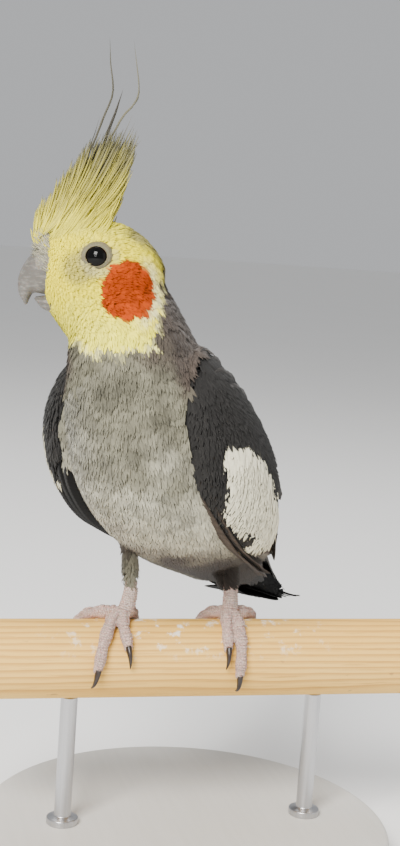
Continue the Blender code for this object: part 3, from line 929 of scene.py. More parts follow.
def coat_room(points):
    """How far apart the small feathers' roots are, in metres, and 0 where none grow."""
    head = into(SKULL, points)
    length = coat_lengths(points)
    room = np.interp(length, (2.0, 5.0, 8.0), (0.27, 0.19, 0.165)) * length
    bill = np.linalg.norm((head - (17.5, 0.0, -1.5)) / (5.5, 5.0, 8.0), axis=1) < 1.0
    eye = np.hypot(head[:, 0] - EYE_PLACE[0], head[:, 2] - EYE_PLACE[1]) < 3.5
    eye &= np.abs(head[:, 1]) > 7.0
    wing = wing_nearest(points)[2] < 1.7
    left = into(BODY, points)[:, 1] > 0.0
    leg_end = np.where(left, COAT_ENDS["left"], COAT_ENDS["right"]) * MM
    bare = (points[:, 2] < leg_end) | (along_spine(points)[0] < RUMP_ROW + 0.1)
    return np.where(bill | eye | wing | bare, 0.0, room * MM)


class COCKATIEL_OT_skin(bpy.types.Operator):
    """Join trunk, head, wings and thighs into one skin under the coat"""

    bl_idname = "cockatiel.skin"
    bl_label = "Skin"

    def execute(self, context):
        made = one_surface("skin", skin_parts(context.scene.cockatiel_plumage), SKIN_VOXEL,
                           SKIN_ROUNDS)
        points = mesh_points(made)
        place, share, away = wing_nearest(points)
        marks = blend(markings(points), wing_markings(place, share), step(2.6, 1.6, away))
        keep(made.data, "marks", marks)
        finish_piece(made, skin_look(),
                     ("head", "neck", "trunk", "leg_left", "leg_right", "wing_left",
                      "wing_right"))
        return {"FINISHED"}


# The coat's pieces: on the head by millimetres from the bill's root, on the body by spine rows
HEAD_GROUPS = (("face", 0.0, 16.5), ("cheek", 16.5, 25.0), ("head", 25.0, HEAD_REACH))
BODY_GROUPS = (("neck", 9.6, 13.0), ("breast", 8.2, 9.6), ("belly", 7.2, 8.2),
               ("flank", 6.6, 7.2), ("thigh", 6.0, 6.6), ("rump", 0.0, 6.0))
CERE_TUFTS = 760


def cere_tufts(surface, draw, look):
    """Lays very small feathers over the front of the head, round the cere."""
    nearby = into(SKULL, surface.points)
    front = np.flatnonzero((nearby[:, 0] > 14.6) & (nearby[:, 2] > -1.5)
                           & (nearby[:, 2] < 8.6))
    roots = surface.points[draw.choice(front, CERE_TUFTS)]
    _, out = surface.settle(roots)
    t = np.linspace(0.0, 1.0, 5)[None, :, None]
    way = unit(0.7 * SKULL[0][0] + 0.45 * SKULL[0][2] + 1.1 * out
               + draw.normal(0.0, 0.34, (CERE_TUFTS, 3)))
    size = draw.uniform(1.2, 2.8, CERE_TUFTS) * MM
    lines = roots[:, None] + way[:, None] * size[:, None, None] * t
    lines = lines + SKULL[0][2] * size[:, None, None] * 0.25 * t ** 2
    marks = np.array(tint(176, 171, 146)) * draw.uniform(0.5, 1.15, (CERE_TUFTS, 1))
    _, left, up = into(SKULL, roots).T
    made = vanes("feathers_cere", lines, np.repeat(out[:, None], 5, axis=1),
                 draw.uniform(0.09, 0.16, CERE_TUFTS) * MM, marks,
                 np.column_stack([0.5 + left / 24.0, 0.02 + up / 100.0]), draw, **SMALL_VANE)
    finish_piece(made, look)


class COCKATIEL_OT_coat(bpy.types.Operator):
    """Lay the small feathers of the head, neck, trunk and thighs over the skin"""

    bl_idname = "cockatiel.coat"
    bl_label = "Small feathers"

    def execute(self, context):
        plumage = context.scene.cockatiel_plumage
        draw = np.random.default_rng(SEED)
        surface = Surface(bpy.data.objects["skin"])

        roots = surface.scatter(plumage.body_count, coat_room, draw)
        count = len(roots)
        length = coat_lengths(roots) * plumage.feather_scale * draw.uniform(0.82, 1.18, count)
        near = np.linalg.norm(into(SKULL, roots) - np.array(BILL_ROOT), axis=1)
        on_head = near < HEAD_REACH
        depth = np.interp(near, (5.0, 16.0, HEAD_REACH), (0.45, 0.95, 1.5))
        depth = np.where(on_head, depth, 1.6)
        depth = depth * draw.uniform(0.9, 1.06, count)
        each, lines, ups = surface.fans(roots, length * MM, depth * MM, draw)
        row, turn, _, _ = along_spine(roots)
        unwrap = body_unwrap(row, turn)
        head = into(SKULL, roots)
        facing = np.arctan2(head[:, 1], head[:, 2])
        polar = np.arccos(np.clip(unit(head)[:, 0], -1, 1)) / np.pi
        unwrap[on_head] = np.column_stack([facing / (2 * np.pi) + 0.5, polar])[on_head]
        starts = lines[:, 0]
        colours = markings(starts + (lines[:, 2] - starts) * 0.7)
        colours = colours * draw.uniform(0.93, 1.07, (count, 1))[each]
        groups = {"feathers_" + name: on_head & (near >= low) & (near < high)
                  for name, low, high in HEAD_GROUPS}
        groups |= {"feathers_" + name: ~on_head & (row > low) & (row <= high)
                   for name, low, high in BODY_GROUPS}
        looks = {"face_coat": coat_look("face_feathers", soft=0.06, sheen=0.04),
                 "grey_coat": coat_look("small_feathers", soft=0.12)}
        for name, chosen in groups.items():
            slot = "face_coat" if on_head[chosen][0] else "grey_coat"
            chosen = chosen[each]
            tufts = each[chosen]
            made = vanes(name, lines[chosen], ups[chosen], BARB_WIDTH * length[tufts] * MM,
                         colours[chosen], unwrap[tufts], draw, **SMALL_VANE)
            finish_piece(made, looks[slot])

        cere_tufts(surface, draw, looks["face_coat"])
        return {"FINISHED"}


# The white patch: rows of the wing, then its ragged lower edge and its upper edge as shares
PATCH_ROWS = (1.4, 1.7, 1.9, 2.1, 2.3, 2.5, 2.7, 2.9, 3.1, 3.4, 4.2)
PATCH_LOW = (0.4, 0.38, 0.19, 0.12, 0.12, 0.15, 0.27, 0.22, 0.1, 0.16, 0.2)
PATCH_TOP = (0.3, 0.46, 0.50, 0.47, 0.44, 0.41, 0.37, 0.33, 0.29, 0.25, 0.2)


def plan_places(plan, rows):
    """Wing row numbers and shares up the wing along the feathers of a plan."""
    t = np.linspace(0.0, 1.0, rows)
    return (plan[:, 0, None] + (plan[:, 2] - plan[:, 0])[:, None] * t,
            plan[:, 1, None] + (plan[:, 3] - plan[:, 1])[:, None] * t)


def wing_rows(plan, sign, rows):
    """Middle lines of feathers along a folded wing. Each plan row holds the feather's root and
    tip as wing row numbers and shares up the wing, and its lift at root and tip."""
    place, share = plan_places(plan, rows)
    t = np.linspace(0.0, 1.0, rows)
    lift = plan[:, 4, None] + (plan[:, 5] - plan[:, 4])[:, None] * t ** 0.8
    lift = lift - 1.6 * step(0.7, 1.0, share)
    point, out = wing_point(place, share, sign, lift)
    return out_of(BODY, point), unit(out @ BODY[0])


def in_patch(place, share):
    """How far places on a folded wing are inside its white patch, from 0 to 1."""
    top = np.interp(place, PATCH_ROWS, PATCH_TOP)
    low = np.interp(place, (1.8, 2.4), (0.24, 0.1))
    inside = np.minimum.reduce([top - share, share - low, (4.1 - place) * 0.2])
    return step(-0.03, 0.03, inside)


def wing_markings(place, share):
    """A folded wing's colours: slate, browner on the lower rear part, with the white patch."""
    plumage = bpy.context.scene.cockatiel_plumage
    brown = np.minimum(0.1 + 0.9 * step(3.6, 4.4, place) * step(0.6, 0.35, share), 1.0)
    front = step(0.16, 0.05, share) * step(1.0, 1.5, place) * step(3.6, 3.0, place)
    shade = blend(plumage.wing, np.array(plumage.back) * 1.15, np.maximum(brown, front))
    return blend(shade, np.array(plumage.white) * 0.95, in_patch(place, share))


def wing_colours(plan, rows, draw):
    """Colours along feathers of a folded wing, a little different from feather to feather."""
    return wing_markings(*plan_places(plan, rows)) * draw.uniform(0.88, 1.1, (len(plan), 1, 1))


def hang(points, normals):
    """The way the white patch hangs: down over the wing and a little towards the tail."""
    way = 0.45 * along_spine(points)[2] - (0.0, 0.0, 1.0)
    return flattened(way, normals)


def wing_unwrap(plan):
    """Places on an unwrap of the wing for feathers' roots."""
    return np.column_stack([plan[:, 0] / (len(WING) - 1), np.clip(plan[:, 1], 0, 1)])


def covert_plan(first, last, low, high, spacing, length, lifts, draw):
    """Staggered rows of coverts from one wing row to another, and between two shares."""
    plan = []
    where = first
    stagger = 0.0
    while where < last:
        before, row, after = curve(WING, where + np.array([-0.05, 0.0, 0.05]))
        step_here = np.linalg.norm(after[:3] - before[:3]) * 10
        tall = math.hypot(row[4] - row[2], row[3] - row[1])
        share = low + stagger * spacing / tall
        while share < high:
            run = length * draw.uniform(0.85, 1.15) / step_here
            drift = 0.5 + (share - 0.5) * 0.98 + draw.normal(0, 0.012)
            plan.append((where + draw.normal(0, 0.02), share, where + run, drift,
                         lifts[0], lifts[1] + draw.normal(0, 0.08)))
            share += spacing / tall * draw.uniform(0.85, 1.15)
        where += spacing * 1.15 / step_here
        stagger = 0.5 - stagger
    return np.array(plan)


def wing_sets(draw):
    """The wing's feathers by kind: name, plan, rows and columns of each vane, half width in
    millimetres, cup, fray, where it is widest, how round its tip is and the nodes replaced."""
    primaries = [(4.2 + 0.10 * k, 0.50 + 0.02 * k, 8.95 - 0.36 * k, 0.62 - 0.04 * k,
                  -2.4 + 0.05 * k, -6.2 + 0.06 * k) for k in range(9)]
    secondaries = [(3.1 + 0.06 * k, 0.22 + 0.082 * k, 5.6 + 0.13 * k - 0.02 * k * k,
                    0.14 + 0.098 * k, -1.2 + 0.04 * k, -2.8 + 0.16 * k) for k in range(9)]
    greater = [(2.6 + 0.02 * k, 0.5 + 0.075 * k, 4.9 - 0.03 * k, 0.42 + 0.08 * k,
                -0.8, 0.0) for k in range(7)]
    median = covert_plan(1.5, 3.3, 0.34, 0.92, 4.2, 14.0, (-0.9, 0.1), draw)
    ends = ("wing_left_primaries", "wing_right_primaries")
    return (("wing_primaries", np.array(primaries), 16, 9, 5.6, 0.09, 0.03, 0.5, 0.10, ends),
            ("wing_secondaries", np.array(secondaries), 12, 9, 5.4, 0.105, 0.05, 0.62, 0.12, ()),
            ("wing_greater_coverts", np.array(greater), 10, 9, 4.6, 0.105, 0.05, 0.62, 0.12, ()),
            ("wing_median_coverts", median, 6, 7, 3.6, 0.105, 0.08, 0.62, 0.2, ()))


def wing_linings(look, draw):
    """Lays soft feathers under both wings' lower edges, which close them to the body; those under
    the right wing are near-black, painted shadow in the gap between wing and belly.
    """
    plumage = bpy.context.scene.cockatiel_plumage
    lines, ups, marks = [], [], []
    # Painted shadow: the right wing's linings (sign -1) take the tail's near-black to stand for
    # the shadow between that wing and the belly
    for sign, depth, shade in ((1, 4.0, plumage.back), (1, 6.2, plumage.back),
                               (-1, 1.8, plumage.tail), (-1, 4.0, plumage.tail),
                               (-1, 6.2, plumage.tail)):
        for place in np.linspace(1.2, 4.6, 40):
            along = place + np.linspace(0.0, 0.7, 6)
            rim, out = wing_point(along, np.full(6, 0.0), sign, -0.6)
            high, _ = wing_point(along, np.full(6, 0.3), sign, -0.6)
            lines.append(out_of(BODY, rim - out * depth + (high - rim) * 0.02))
            ups.append(unit((unit(rim - high) + (0.9, 0.0, 0.0)) @ BODY[0]))
            marks.append(np.array(shade) * draw.uniform(0.8, 1.2))
    count = len(lines)
    made = vanes("wing_linings", np.array(lines), np.array(ups), np.full(count, 3.3 * MM),
                 np.array(marks),
                 np.column_stack([np.linspace(0.02, 0.98, count), np.full(count, 0.5)]),
                 draw, columns=7, cup=0.05, fray=0.06, base=0.4)
    finish_piece(made, look)


def wing_soft_feathers(draw):
    """Lays small feathers over the shoulders and the white patch, which hangs on the left."""
    plumage = bpy.context.scene.cockatiel_plumage
    surface = Surface(bpy.data.objects["skin"])
    look = coat_look("small_wing_feathers", soft=0.2, sheen=0.06)
    shoulders = covert_plan(0.2, 3.0, -0.02, 1.02, 1.5, 1.0, (0, 0), draw)[:, :2]
    end = shoulders[:, 0] + 0.72
    top = np.interp(end, PATCH_ROWS, PATCH_TOP)
    low = np.interp(end, (1.85, 2.35), (0.24, 0.12))
    free = (end < 1.85) | (shoulders[:, 1] > top) | (shoulders[:, 1] < low)
    corner = shoulders[:, 1] > np.interp(shoulders[:, 0], (0.5, 1.5), (0.86, 0.96))
    shoulders = shoulders[free & ~corner]
    patch = covert_plan(1.7, 3.5, 0.0, 0.54, 1.15, 1.0, (0, 0), draw)[:, :2]
    patch = patch[patch[:, 1] < np.interp(patch[:, 0], PATCH_ROWS, PATCH_TOP)]
    hung = patch[patch[:, 1] > np.interp(patch[:, 0], PATCH_ROWS, PATCH_LOW)]
    flat = patch[patch[:, 1] > 0.05]
    inner = shoulders[(shoulders[:, 1] > 0.07) | (shoulders[:, 0] < 0.8)]
    for name, spots, sign, length, deep, flow, shade in (
            ("wing_shoulder_left", shoulders, 1, 7.5, 2.2, lie, plumage.wing),
            ("wing_shoulder_right", inner, -1, 7.5, 2.2, lie, plumage.wing),
            ("wing_patch_left", hung, 1, 13.5, 2.7, hang, plumage.white),
            ("wing_patch_right", flat, -1, 9.5, 2.5, lie, plumage.white)):
        place, share = spots.T
        roots = out_of(BODY, wing_point(place, share, sign, -1.2)[0])
        count = len(roots)
        size = length * draw.uniform(0.85, 1.15, count)
        high = deep * step(0.1, 0.9, place) * np.interp(share, (0.85, 1.0), (1.0, 0.5)) * MM
        each, lines, ups = surface.fans(roots, size * MM, high, draw, 0.26, flow, 0.05,
                                        (0.3, 0.6, 0.82, 1.0))
        marks = np.tile(np.array(shade), (count, 1))
        front = step(0.16, 0.05, share) * step(1.0, 1.5, place) * (shade is plumage.wing)
        marks = blend(marks, np.array(plumage.back) * 1.15, front)
        marks = marks * draw.uniform(0.94, 1.06, (count, 1))
        made = vanes(name, lines, ups, WING_BARB_WIDTH * size[each] * MM, marks[each],
                     wing_unwrap(spots)[each], draw, **SMALL_VANE)
        finish_piece(made, look)


class COCKATIEL_OT_wings(bpy.types.Operator):
    """Lay coverts, secondaries and primaries over both folded wings"""

    bl_idname = "cockatiel.wings"
    bl_label = "Wings"

    def execute(self, context):
        draw = np.random.default_rng(SEED + 1)
        sets = wing_sets(draw)
        look = coat_look("wing_feathers", 0.22, 0.7, 0.35, 0.12, soft=0.12, sheen=0.06)
        wing_linings(look, draw)
        for name, plan, rows, columns, wide, cup, fray, peak, rounding, stands in sets:
            lines, ups, marks, roots = [], [], [], []
            for _, sign in SIDES:
                line, up = wing_rows(plan, sign, rows)
                lines.append(line)
                ups.append(up)
                marks.append(wing_colours(plan, rows, draw))
                roots.append(wing_unwrap(plan) * (0.5, 1.0) + (0.25 - 0.25 * sign, 0.0))
            made = vanes(name, np.vstack(lines), np.vstack(ups),
                         np.full(2 * len(plan), wide * MM), np.vstack(marks), np.vstack(roots),
                         draw, columns=columns, cup=cup, fray=fray, round_tip=rounding,
                         base=0.3, peak=peak, tip=0.3, thick=0.0003)
            finish_piece(made, look, stands)

        wing_soft_feathers(draw)
        return {"FINISHED"}


UNDERTAIL_SPACING = 1.3
UNDERTAIL_TRIES = 4000


def undertail_room(points):
    """How far apart the undertail feathers' roots are, in metres, and 0 where none grow."""
    row, _, _, dorsal = along_spine(points)
    here = (row > RUMP_ROW + 0.15) & (row < TAIL_ROW) & (dorsal < 0.15)
    return np.where(here, UNDERTAIL_SPACING * MM, 0.0)


def undertail(look, draw):
    """Lays soft feathers under the root of the tail."""
    plumage = bpy.context.scene.cockatiel_plumage
    surface = Surface(bpy.data.objects["skin"])
    roots = surface.scatter(UNDERTAIL_TRIES, undertail_room, draw)
    count = len(roots)
    size = draw.uniform(9.0, 12.0, count)
    row, turn, _, _ = along_spine(roots)
    high = np.interp(row, (4.2, TAIL_ROW), (2.9, 1.5)) * MM
    each, lines, ups = surface.fans(roots, size * MM, high, draw, rise=(0.0, 0.4, 0.72, 1.0))
    marks = blend(np.array(plumage.back) * 1.1, plumage.tail, step(5.2, TAIL_ROW, row))
    marks = marks * draw.uniform(0.8, 1.2, (count, 1))
    made = vanes("undertail_feathers", lines, ups, BARB_WIDTH * size[each] * MM, marks[each],
                 body_unwrap(row, turn)[each], draw, **SMALL_VANE)
    finish_piece(made, look)


# Spine rows that the six pairs of tail feathers end at, from the middle pair outward
TAIL_ENDS = (0.03, 1.15, 1.9, 2.3, 2.6, 2.8)


class COCKATIEL_OT_tail(bpy.types.Operator):
    """Lay twelve graduated tail feathers, the longest pair on top"""

    bl_idname = "cockatiel.tail"
    bl_label = "Tail"

    def execute(self, context):
        plumage = context.scene.cockatiel_plumage
        draw = np.random.default_rng(SEED + 2)
        t = np.linspace(0.0, 1.0, 20)
        lines, ups, wide, marks, roots = [], [], [], [], []
        for rank, end in reversed(list(enumerate(TAIL_ENDS))):
            for _, sign in SIDES:
                place = TAIL_ROW + (end + 0.05 * draw.random() - TAIL_ROW) * t
                centre, side, belly, _, radii = spine_frames(place)
                spread = (0.6 + 0.9 * rank) + (0.9 + 0.75 * rank) * t
                spread = np.minimum(spread * MM, np.maximum(radii[:, 0] - 0.0035, 0.0))
                rise = radii[:, 1] * (0.62 - 0.3 * rank) + 0.1 * sign * MM
                lines.append(centre + side * (sign * spread)[:, None] - belly * rise[:, None])
                ups.append(unit(-belly + side * (sign * 0.06 * rank)))
                wide.append((4.3 - 0.12 * rank if rank else 3.5) * MM)
                shade = blend(plumage.tail, plumage.back, 0.55 if rank == 0 else 0.05)
                marks.append(shade * draw.uniform(0.85, 1.1))
                roots.append((0.5 + sign * (0.04 + 0.07 * rank), 0.5))
        made = vanes("tail_feathers", np.array(lines), np.array(ups), np.array(wide),
                     np.array(marks), np.array(roots), draw, columns=9, cup=0.08, fray=0.02,
                     round_tip=0.06, base=0.5, peak=0.45, tip=0.12, thick=0.0004)
        look = coat_look("tail_feathers_slate", 0.2, 0.6, 0.4, 0.1, sheen=0.0)
        finish_piece(made, look, ("tail",))

        undertail(look, draw)
        return {"FINISHED"}


# The crest's outline and foot in the head's frame, from its front over its tip to its back
CREST_OUTLINE = np.array([(19.5, 15.0), (17.7, 19.1), (13.2, 25.6), (9.3, 31.2), (5.7, 34.7),
                          (1.6, 36.8), (-1.5, 37.8), (-5.0, 37.2), (-5.0, 32.0), (-4.6, 26.0)])
CREST_FOOT = np.array([(19.6, 8.2), (19.0, 9.6), (17.9, 10.6), (16.6, 11.4), (14.8, 12.2),
                       (12.6, 12.8), (10.0, 13.3), (6.6, 13.8), (3.0, 14.1), (-0.6, 13.8)])
# The last place along the foot that feathers grow from, and how far they spread to each side
CREST_LAST = 8.4
CREST_SPREAD = ((0, 3, 9), (2.2, 4.4, 4.0))
CREST_GREY = tint(112, 108, 78)
CREST_FEATHERS = 1500
CREST_FOOT_FEATHERS = 900
LOOSE_STRANDS = 34
STRAND_POINTS = 18
# The three long strands: forward and up
PLUMES = [
    [(5.2, 33.5), (4.5, 36.5), (2.8, 41.8), (0.8, 48.6), (1.9, 57.0), (2.5, 63.3)],
    [(0.6, 35.0), (-1.0, 39.8), (-2.8, 43.0), (-5.1, 46.1), (-6.0, 51.0), (-4.0, 62.7)],
    [(2.6, 34.0), (1.6, 38.0), (-0.2, 43.6), (-1.9, 49.9)],
]


def crest_colours(lines, draw):
    """Colours along crest feathers: yellow low down, olive higher, grey towards the top."""
    plumage = bpy.context.scene.cockatiel_plumage
    up = lines[..., 2]
    stray = draw.normal(0.0, 2.4, (len(lines), 1))
    shade = np.array(plumage.crown) + 0.0 * up[..., None]
    for tone, low, high, share in ((plumage.crest, 12.0, 20.0, 0.95),
                                   (CREST_GREY, 22.0, 35.0, 0.85)):
        part = share * step(low, high, up + stray)[..., None]
        shade = shade * (1.0 - part) + np.array(tone) * part
    return shade * draw.uniform(0.82, 1.1, (len(lines), 1, 1))


def crest_tips(where):
    """Ends of crest feathers whose roots are at these places along the crest's foot."""
    places = 1.12 * where + 1.3 * step(0.0, 1.6, where)
    return curve(CREST_OUTLINE, np.minimum(places, 9.0))


def crest_fan(look, draw):
    """Fans the crest's feathers up from the forehead."""
    count, rows = CREST_FEATHERS, 9
    t = np.linspace(0.0, 1.0, rows)[None, :, None]
    where = np.sort(draw.uniform(0.0, CREST_LAST, count))
    foot = curve(CREST_FOOT, where) - (0.0, 2.4)
    tip = crest_tips(where)
    reach = draw.uniform(0.12, 1.0, count) ** 0.6
    reach[::6] = draw.uniform(0.95, 1.12, len(reach[::6]))
    reach = reach * np.interp(where, (6.8, CREST_LAST), (1.0, 0.72))
    tip = foot + (tip - foot) * reach[:, None] + draw.normal(0.0, 0.55, (count, 2))
    bow = foot + (tip - foot) * (0.72, 0.4) + draw.normal(0.0, 0.6, (count, 2))
    line = ((1 - t) ** 2 * foot[:, None] + 2 * t * (1 - t) * bow[:, None]
            + t ** 2 * tip[:, None])
    aside = draw.uniform(-1.0, 1.0, count) * np.interp(where, *CREST_SPREAD)
    lean = aside[:, None] * (1.0 - 0.72 * t[0, :, 0] * reach[:, None])
    lines = np.stack([line[..., 0], lean, line[..., 1]], -1)
    ups = np.zeros((count, rows, 3))
    ups[..., 1] = np.where(aside < 0, -1.0, 1.0)[:, None]
    ups[..., 0] = draw.normal(0.25, 0.2, (count, 1))
    marks = crest_colours(lines, draw)
    made = vanes("crest_feathers", out_of(SKULL, lines), unit(ups @ SKULL[0]),
                 draw.uniform(0.12, 0.32, count) * MM, marks,
                 np.column_stack([where / 9, 0.5 + aside / 10]), draw, columns=3, cup=0.15,
                 fray=0.05, round_tip=0.04, base=0.6, peak=0.4, tip=0.18, thick=0.0001)
    finish_piece(made, look, ("crest",))


def crest_foot(look, draw):
    """Lays short feathers over both sides of the crest's foot."""
    count = CREST_FOOT_FEATHERS
    where = draw.uniform(0.0, 8.6, count)
    foot = curve(CREST_FOOT, where)
    tip = crest_tips(where)
    drop = draw.uniform(0.0, 1.0, count) ** 1.5 * np.interp(where, (0.0, 3.0), (2.0, 4.6))
    sign = np.where(draw.random(count) < 0.5, -1.0, 1.0)
    wide_here = np.array([head_half_width(ahead - 0.6, up - 0.3) for ahead, up
                          in zip(foot[:, 0], foot[:, 1] - drop)])
    rise = (draw.uniform(0.12, 0.42, count) * (1.0 + 0.08 * drop))[:, None]
    t = np.linspace(0.0, 1.0, 6)[None, :]
    way = (tip - foot) * rise
    root_in = wide_here[:, None] - 1.5 * (1.0 - t) ** 3
    lines = np.stack([foot[:, 0, None] - 0.6 + way[:, 0, None] * t ** 0.85,
                      sign[:, None] * (root_in * (1.0 - 0.5 * t) + 0.5 * np.sin(np.pi * t)),
                      foot[:, 1, None] - drop[:, None] - 0.6 + way[:, 1, None] * t ** 1.2], -1)
    ups = np.zeros((count, 6, 3))
    ups[..., 1] = sign[:, None]
    ups[..., 0] = 0.2
    made = vanes("crest_base", out_of(SKULL, lines), unit(ups @ SKULL[0]),
                 draw.uniform(0.12, 0.28, count) * MM, crest_colours(lines, draw),
                 np.column_stack([where / 9, 0.5 + 0.05 * sign]), draw,
                 **(SMALL_VANE | {"tip": 0.25}))
    finish_piece(made, look)


def crest_strands(look, draw):
    """Bends loose strands and three long ones over the crest."""
    strands, widths = [], []
    for number, route in enumerate(PLUMES):
        path = curve(np.array(route), np.linspace(0, len(route) - 1, STRAND_POINTS))
        root = curve(CREST_FOOT, 4.0 + number)
        path[:3] = root + (path[3] - root) * np.array([[0.25], [0.55], [0.8]])
        aside = np.full(STRAND_POINTS, 1.0 - number)
        strands.append(np.stack([path[:, 0], aside, path[:, 1]], -1))
        widths.append(0.42 if number == 2 else 0.3)
    for _ in range(LOOSE_STRANDS):
        start = draw.uniform(2.4, 7.0)
        root = curve(CREST_FOOT, start)
        top = curve(CREST_OUTLINE, min(1.12 * start + 1.3, CREST_LAST))
        high = top + np.array([draw.normal(-1.2, 1.0), draw.uniform(-1.0, 1.0) ** 2 * 7.0])
        part = np.linspace(0, 1, STRAND_POINTS)[:, None]
        bend = top * 0.6 + root * 0.4 + (-2.0, 0.0)
        path = (1 - part) ** 2 * root + 2 * part * (1 - part) * bend + part ** 2 * high
        aside = np.full(STRAND_POINTS, draw.normal(0, 0.7))
        strands.append(np.stack([path[:, 0], aside, path[:, 1]], -1))
        widths.append(draw.uniform(0.16, 0.3))
    lines = np.array(strands)
    ups = np.zeros_like(lines)
    ups[..., 1] = 1.0
    shades = blend(tint(104, 100, 78), tint(52, 49, 42), draw.random(len(lines)))
    made = vanes("crest_strands", out_of(SKULL, lines), unit(ups @ SKULL[0]),
                 np.array(widths) * MM, shades,
                 np.column_stack([np.linspace(0.1, 0.9, len(lines)), np.full(len(lines), 0.5)]),
                 draw, columns=3, cup=0.1, fray=0.0, base=0.9, peak=0.3, tip=0.35)
    finish_piece(made, look,
                 ("crest_plume_1", "crest_plume_2", "crest_plume_3"))


class COCKATIEL_OT_crest(bpy.types.Operator):
    """Fan the crest's feathers up from the forehead, with loose strands over its top"""

    bl_idname = "cockatiel.crest"
    bl_label = "Crest"

    def execute(self, context):
        draw = np.random.default_rng(SEED + 3)
        look = coat_look("crest_feathers_yellow", 0.3, 0.8, 0.15, 0.2, soft=0.1)
        crest_fan(look, draw)
        crest_foot(look, draw)
        crest_strands(look, draw)
        return {"FINISHED"}


def bead_tree(look):
    """Nodes that set one small rounded plate on every point of a mesh, turned by the point's
    own axes and sized by its own factor."""
    tree = bpy.data.node_groups.new("beads", "GeometryNodeTree")
    tree.interface.new_socket("Geometry", in_out="INPUT", socket_type="NodeSocketGeometry")
    for label, value in (("Plate length", 0.001), ("Plate width", 0.001),
                         ("Plate height", 0.0004)):
        socket = tree.interface.new_socket(label, in_out="INPUT", socket_type="NodeSocketFloat")
        socket.default_value = value
        socket.subtype = "DISTANCE"
    tree.interface.new_socket("Geometry", in_out="OUTPUT", socket_type="NodeSocketGeometry")

    def node(kind, settings=None, **links):
        """One new node, with the settings and the inputs that its words name."""
        made = tree.nodes.new(kind)
        for key, value in (settings or {}).items():
            setattr(made, key, value)
        for key, value in links.items():
            socket = made.inputs[key.replace("_", " ")]
            if isinstance(value, bpy.types.NodeSocket):
                tree.links.new(value, socket)
            else:
                socket.default_value = value
        return made

    source = node("NodeGroupInput")
    ball = node("GeometryNodeMeshUVSphere", Segments=10, Rings=6, Radius=0.5)
    size = node("ShaderNodeCombineXYZ", X=source.outputs["Plate length"],
                Y=source.outputs["Plate width"], Z=source.outputs["Plate height"])
    plate = node("GeometryNodeTransform", Geometry=ball.outputs["Mesh"],
                 Scale=size.outputs["Vector"])
    shaded = node("GeometryNodeSetShadeSmooth", Geometry=plate.outputs["Geometry"])
    rise = node("GeometryNodeInputNamedAttribute", {"data_type": "FLOAT_VECTOR"}, Name="rise")
    run = node("GeometryNodeInputNamedAttribute", {"data_type": "FLOAT_VECTOR"}, Name="run")
    factor = node("GeometryNodeInputNamedAttribute", {"data_type": "FLOAT"}, Name="factor")
    turn = node("FunctionNodeAxesToRotation", {"primary_axis": "Z", "secondary_axis": "X"},
                Primary_Axis=rise.outputs["Attribute"], Secondary_Axis=run.outputs["Attribute"])
    laid = node("GeometryNodeInstanceOnPoints", Points=source.outputs["Geometry"],
                Instance=shaded.outputs["Geometry"], Rotation=turn.outputs["Rotation"],
                Scale=factor.outputs["Attribute"])
    real = node("GeometryNodeRealizeInstances", Geometry=laid.outputs["Instances"])
    finished = node("GeometryNodeSetMaterial", Geometry=real.outputs["Geometry"], Material=look)
    sink = tree.nodes.new("NodeGroupOutput")
    tree.links.new(finished.outputs["Geometry"], sink.inputs[0])
    return tree


def beads(name, points, rises, runs, factors, look, size):
    """Small plates on points, made by the bead nodes and turned into a plain mesh."""
    holder = bpy.data.meshes.new(name)
    holder.from_pydata([tuple(point) for point in points], [], [])
    keep(holder, "rise", rises, "FLOAT_VECTOR")
    keep(holder, "run", runs, "FLOAT_VECTOR")
    keep(holder, "factor", factors, "FLOAT")
    made = placed(name, holder)
    tree = bead_tree(look)
    modifier = made.modifiers.new("plates", "NODES")
    modifier.node_group = tree
    inputs = [item for item in tree.interface.items_tree
              if item.in_out == "INPUT" and item.socket_type == "NodeSocketFloat"]
    for item, value in zip(inputs, size):
        modifier[item.identifier] = value
    return frozen(made, name)


def eye_axes(sign):
    """Centre of an eye, and its outward, forward and upward axes."""
    side = head_half_width(*EYE_PLACE) + EYE_OUT - EYE_RADIUS
    centre = out_of(SKULL, (EYE_PLACE[0], sign * side, EYE_PLACE[1]))
    out = unit(np.array([0.1, sign, 0.12]) @ SKULL[0])
    forward = unit(SKULL[0][0] - out * (SKULL[0][0] @ out))
    up = np.cross(forward, out) * sign
    return centre, out, forward, up


# A lid's rounded section: how far outside its opening, and how high above the eye's centre
LID_SECTION = np.array([(-0.3, 1.7), (-0.12, 2.1), (-0.02, 2.4), (0.08, 2.54), (0.22, 2.54),
                        (0.38, 2.4), (0.5, 2.34), (0.64, 2.34), (0.8, 2.22), (1.05, 1.9),
                        (1.4, 1.4), (1.7, 0.8)])
LID_SQUASH = 0.07
LID_THICK = 0.0007
# Rows of beads on a lid: how far outside its opening, how high, and how many
LID_BEADS = ((0.14, 2.54, 44), (0.42, 2.4, 50), (0.76, 2.24, 56))
LID_BEAD_SIZE = (0.00034, 0.00024, 0.00018)


def eye_look(hard):
    """Wet eye: a black pupil, a dark streaked iris and a black rim."""
    look = Paint("eye_wet", Roughness=0.06, IOR=1.34, Specular_IOR_Level=0.3)
    depth = look.attribute("depth", 2)
    iris = look.span(depth, 0.55, 0.62)
    rim = look.span(depth, 0.86, 1.0)
    streaks = look.noise(2600.0, 3.0, 0.7)
    tone = look.mix(streaks, tuple(part * 0.5 for part in hard.iris), hard.iris[:])
    tone = look.mix(iris, (0.002, 0.002, 0.002), tone)
    look.set("Base Color", look.mix(rim, tone, (0.006, 0.005, 0.005)))
    return look.material


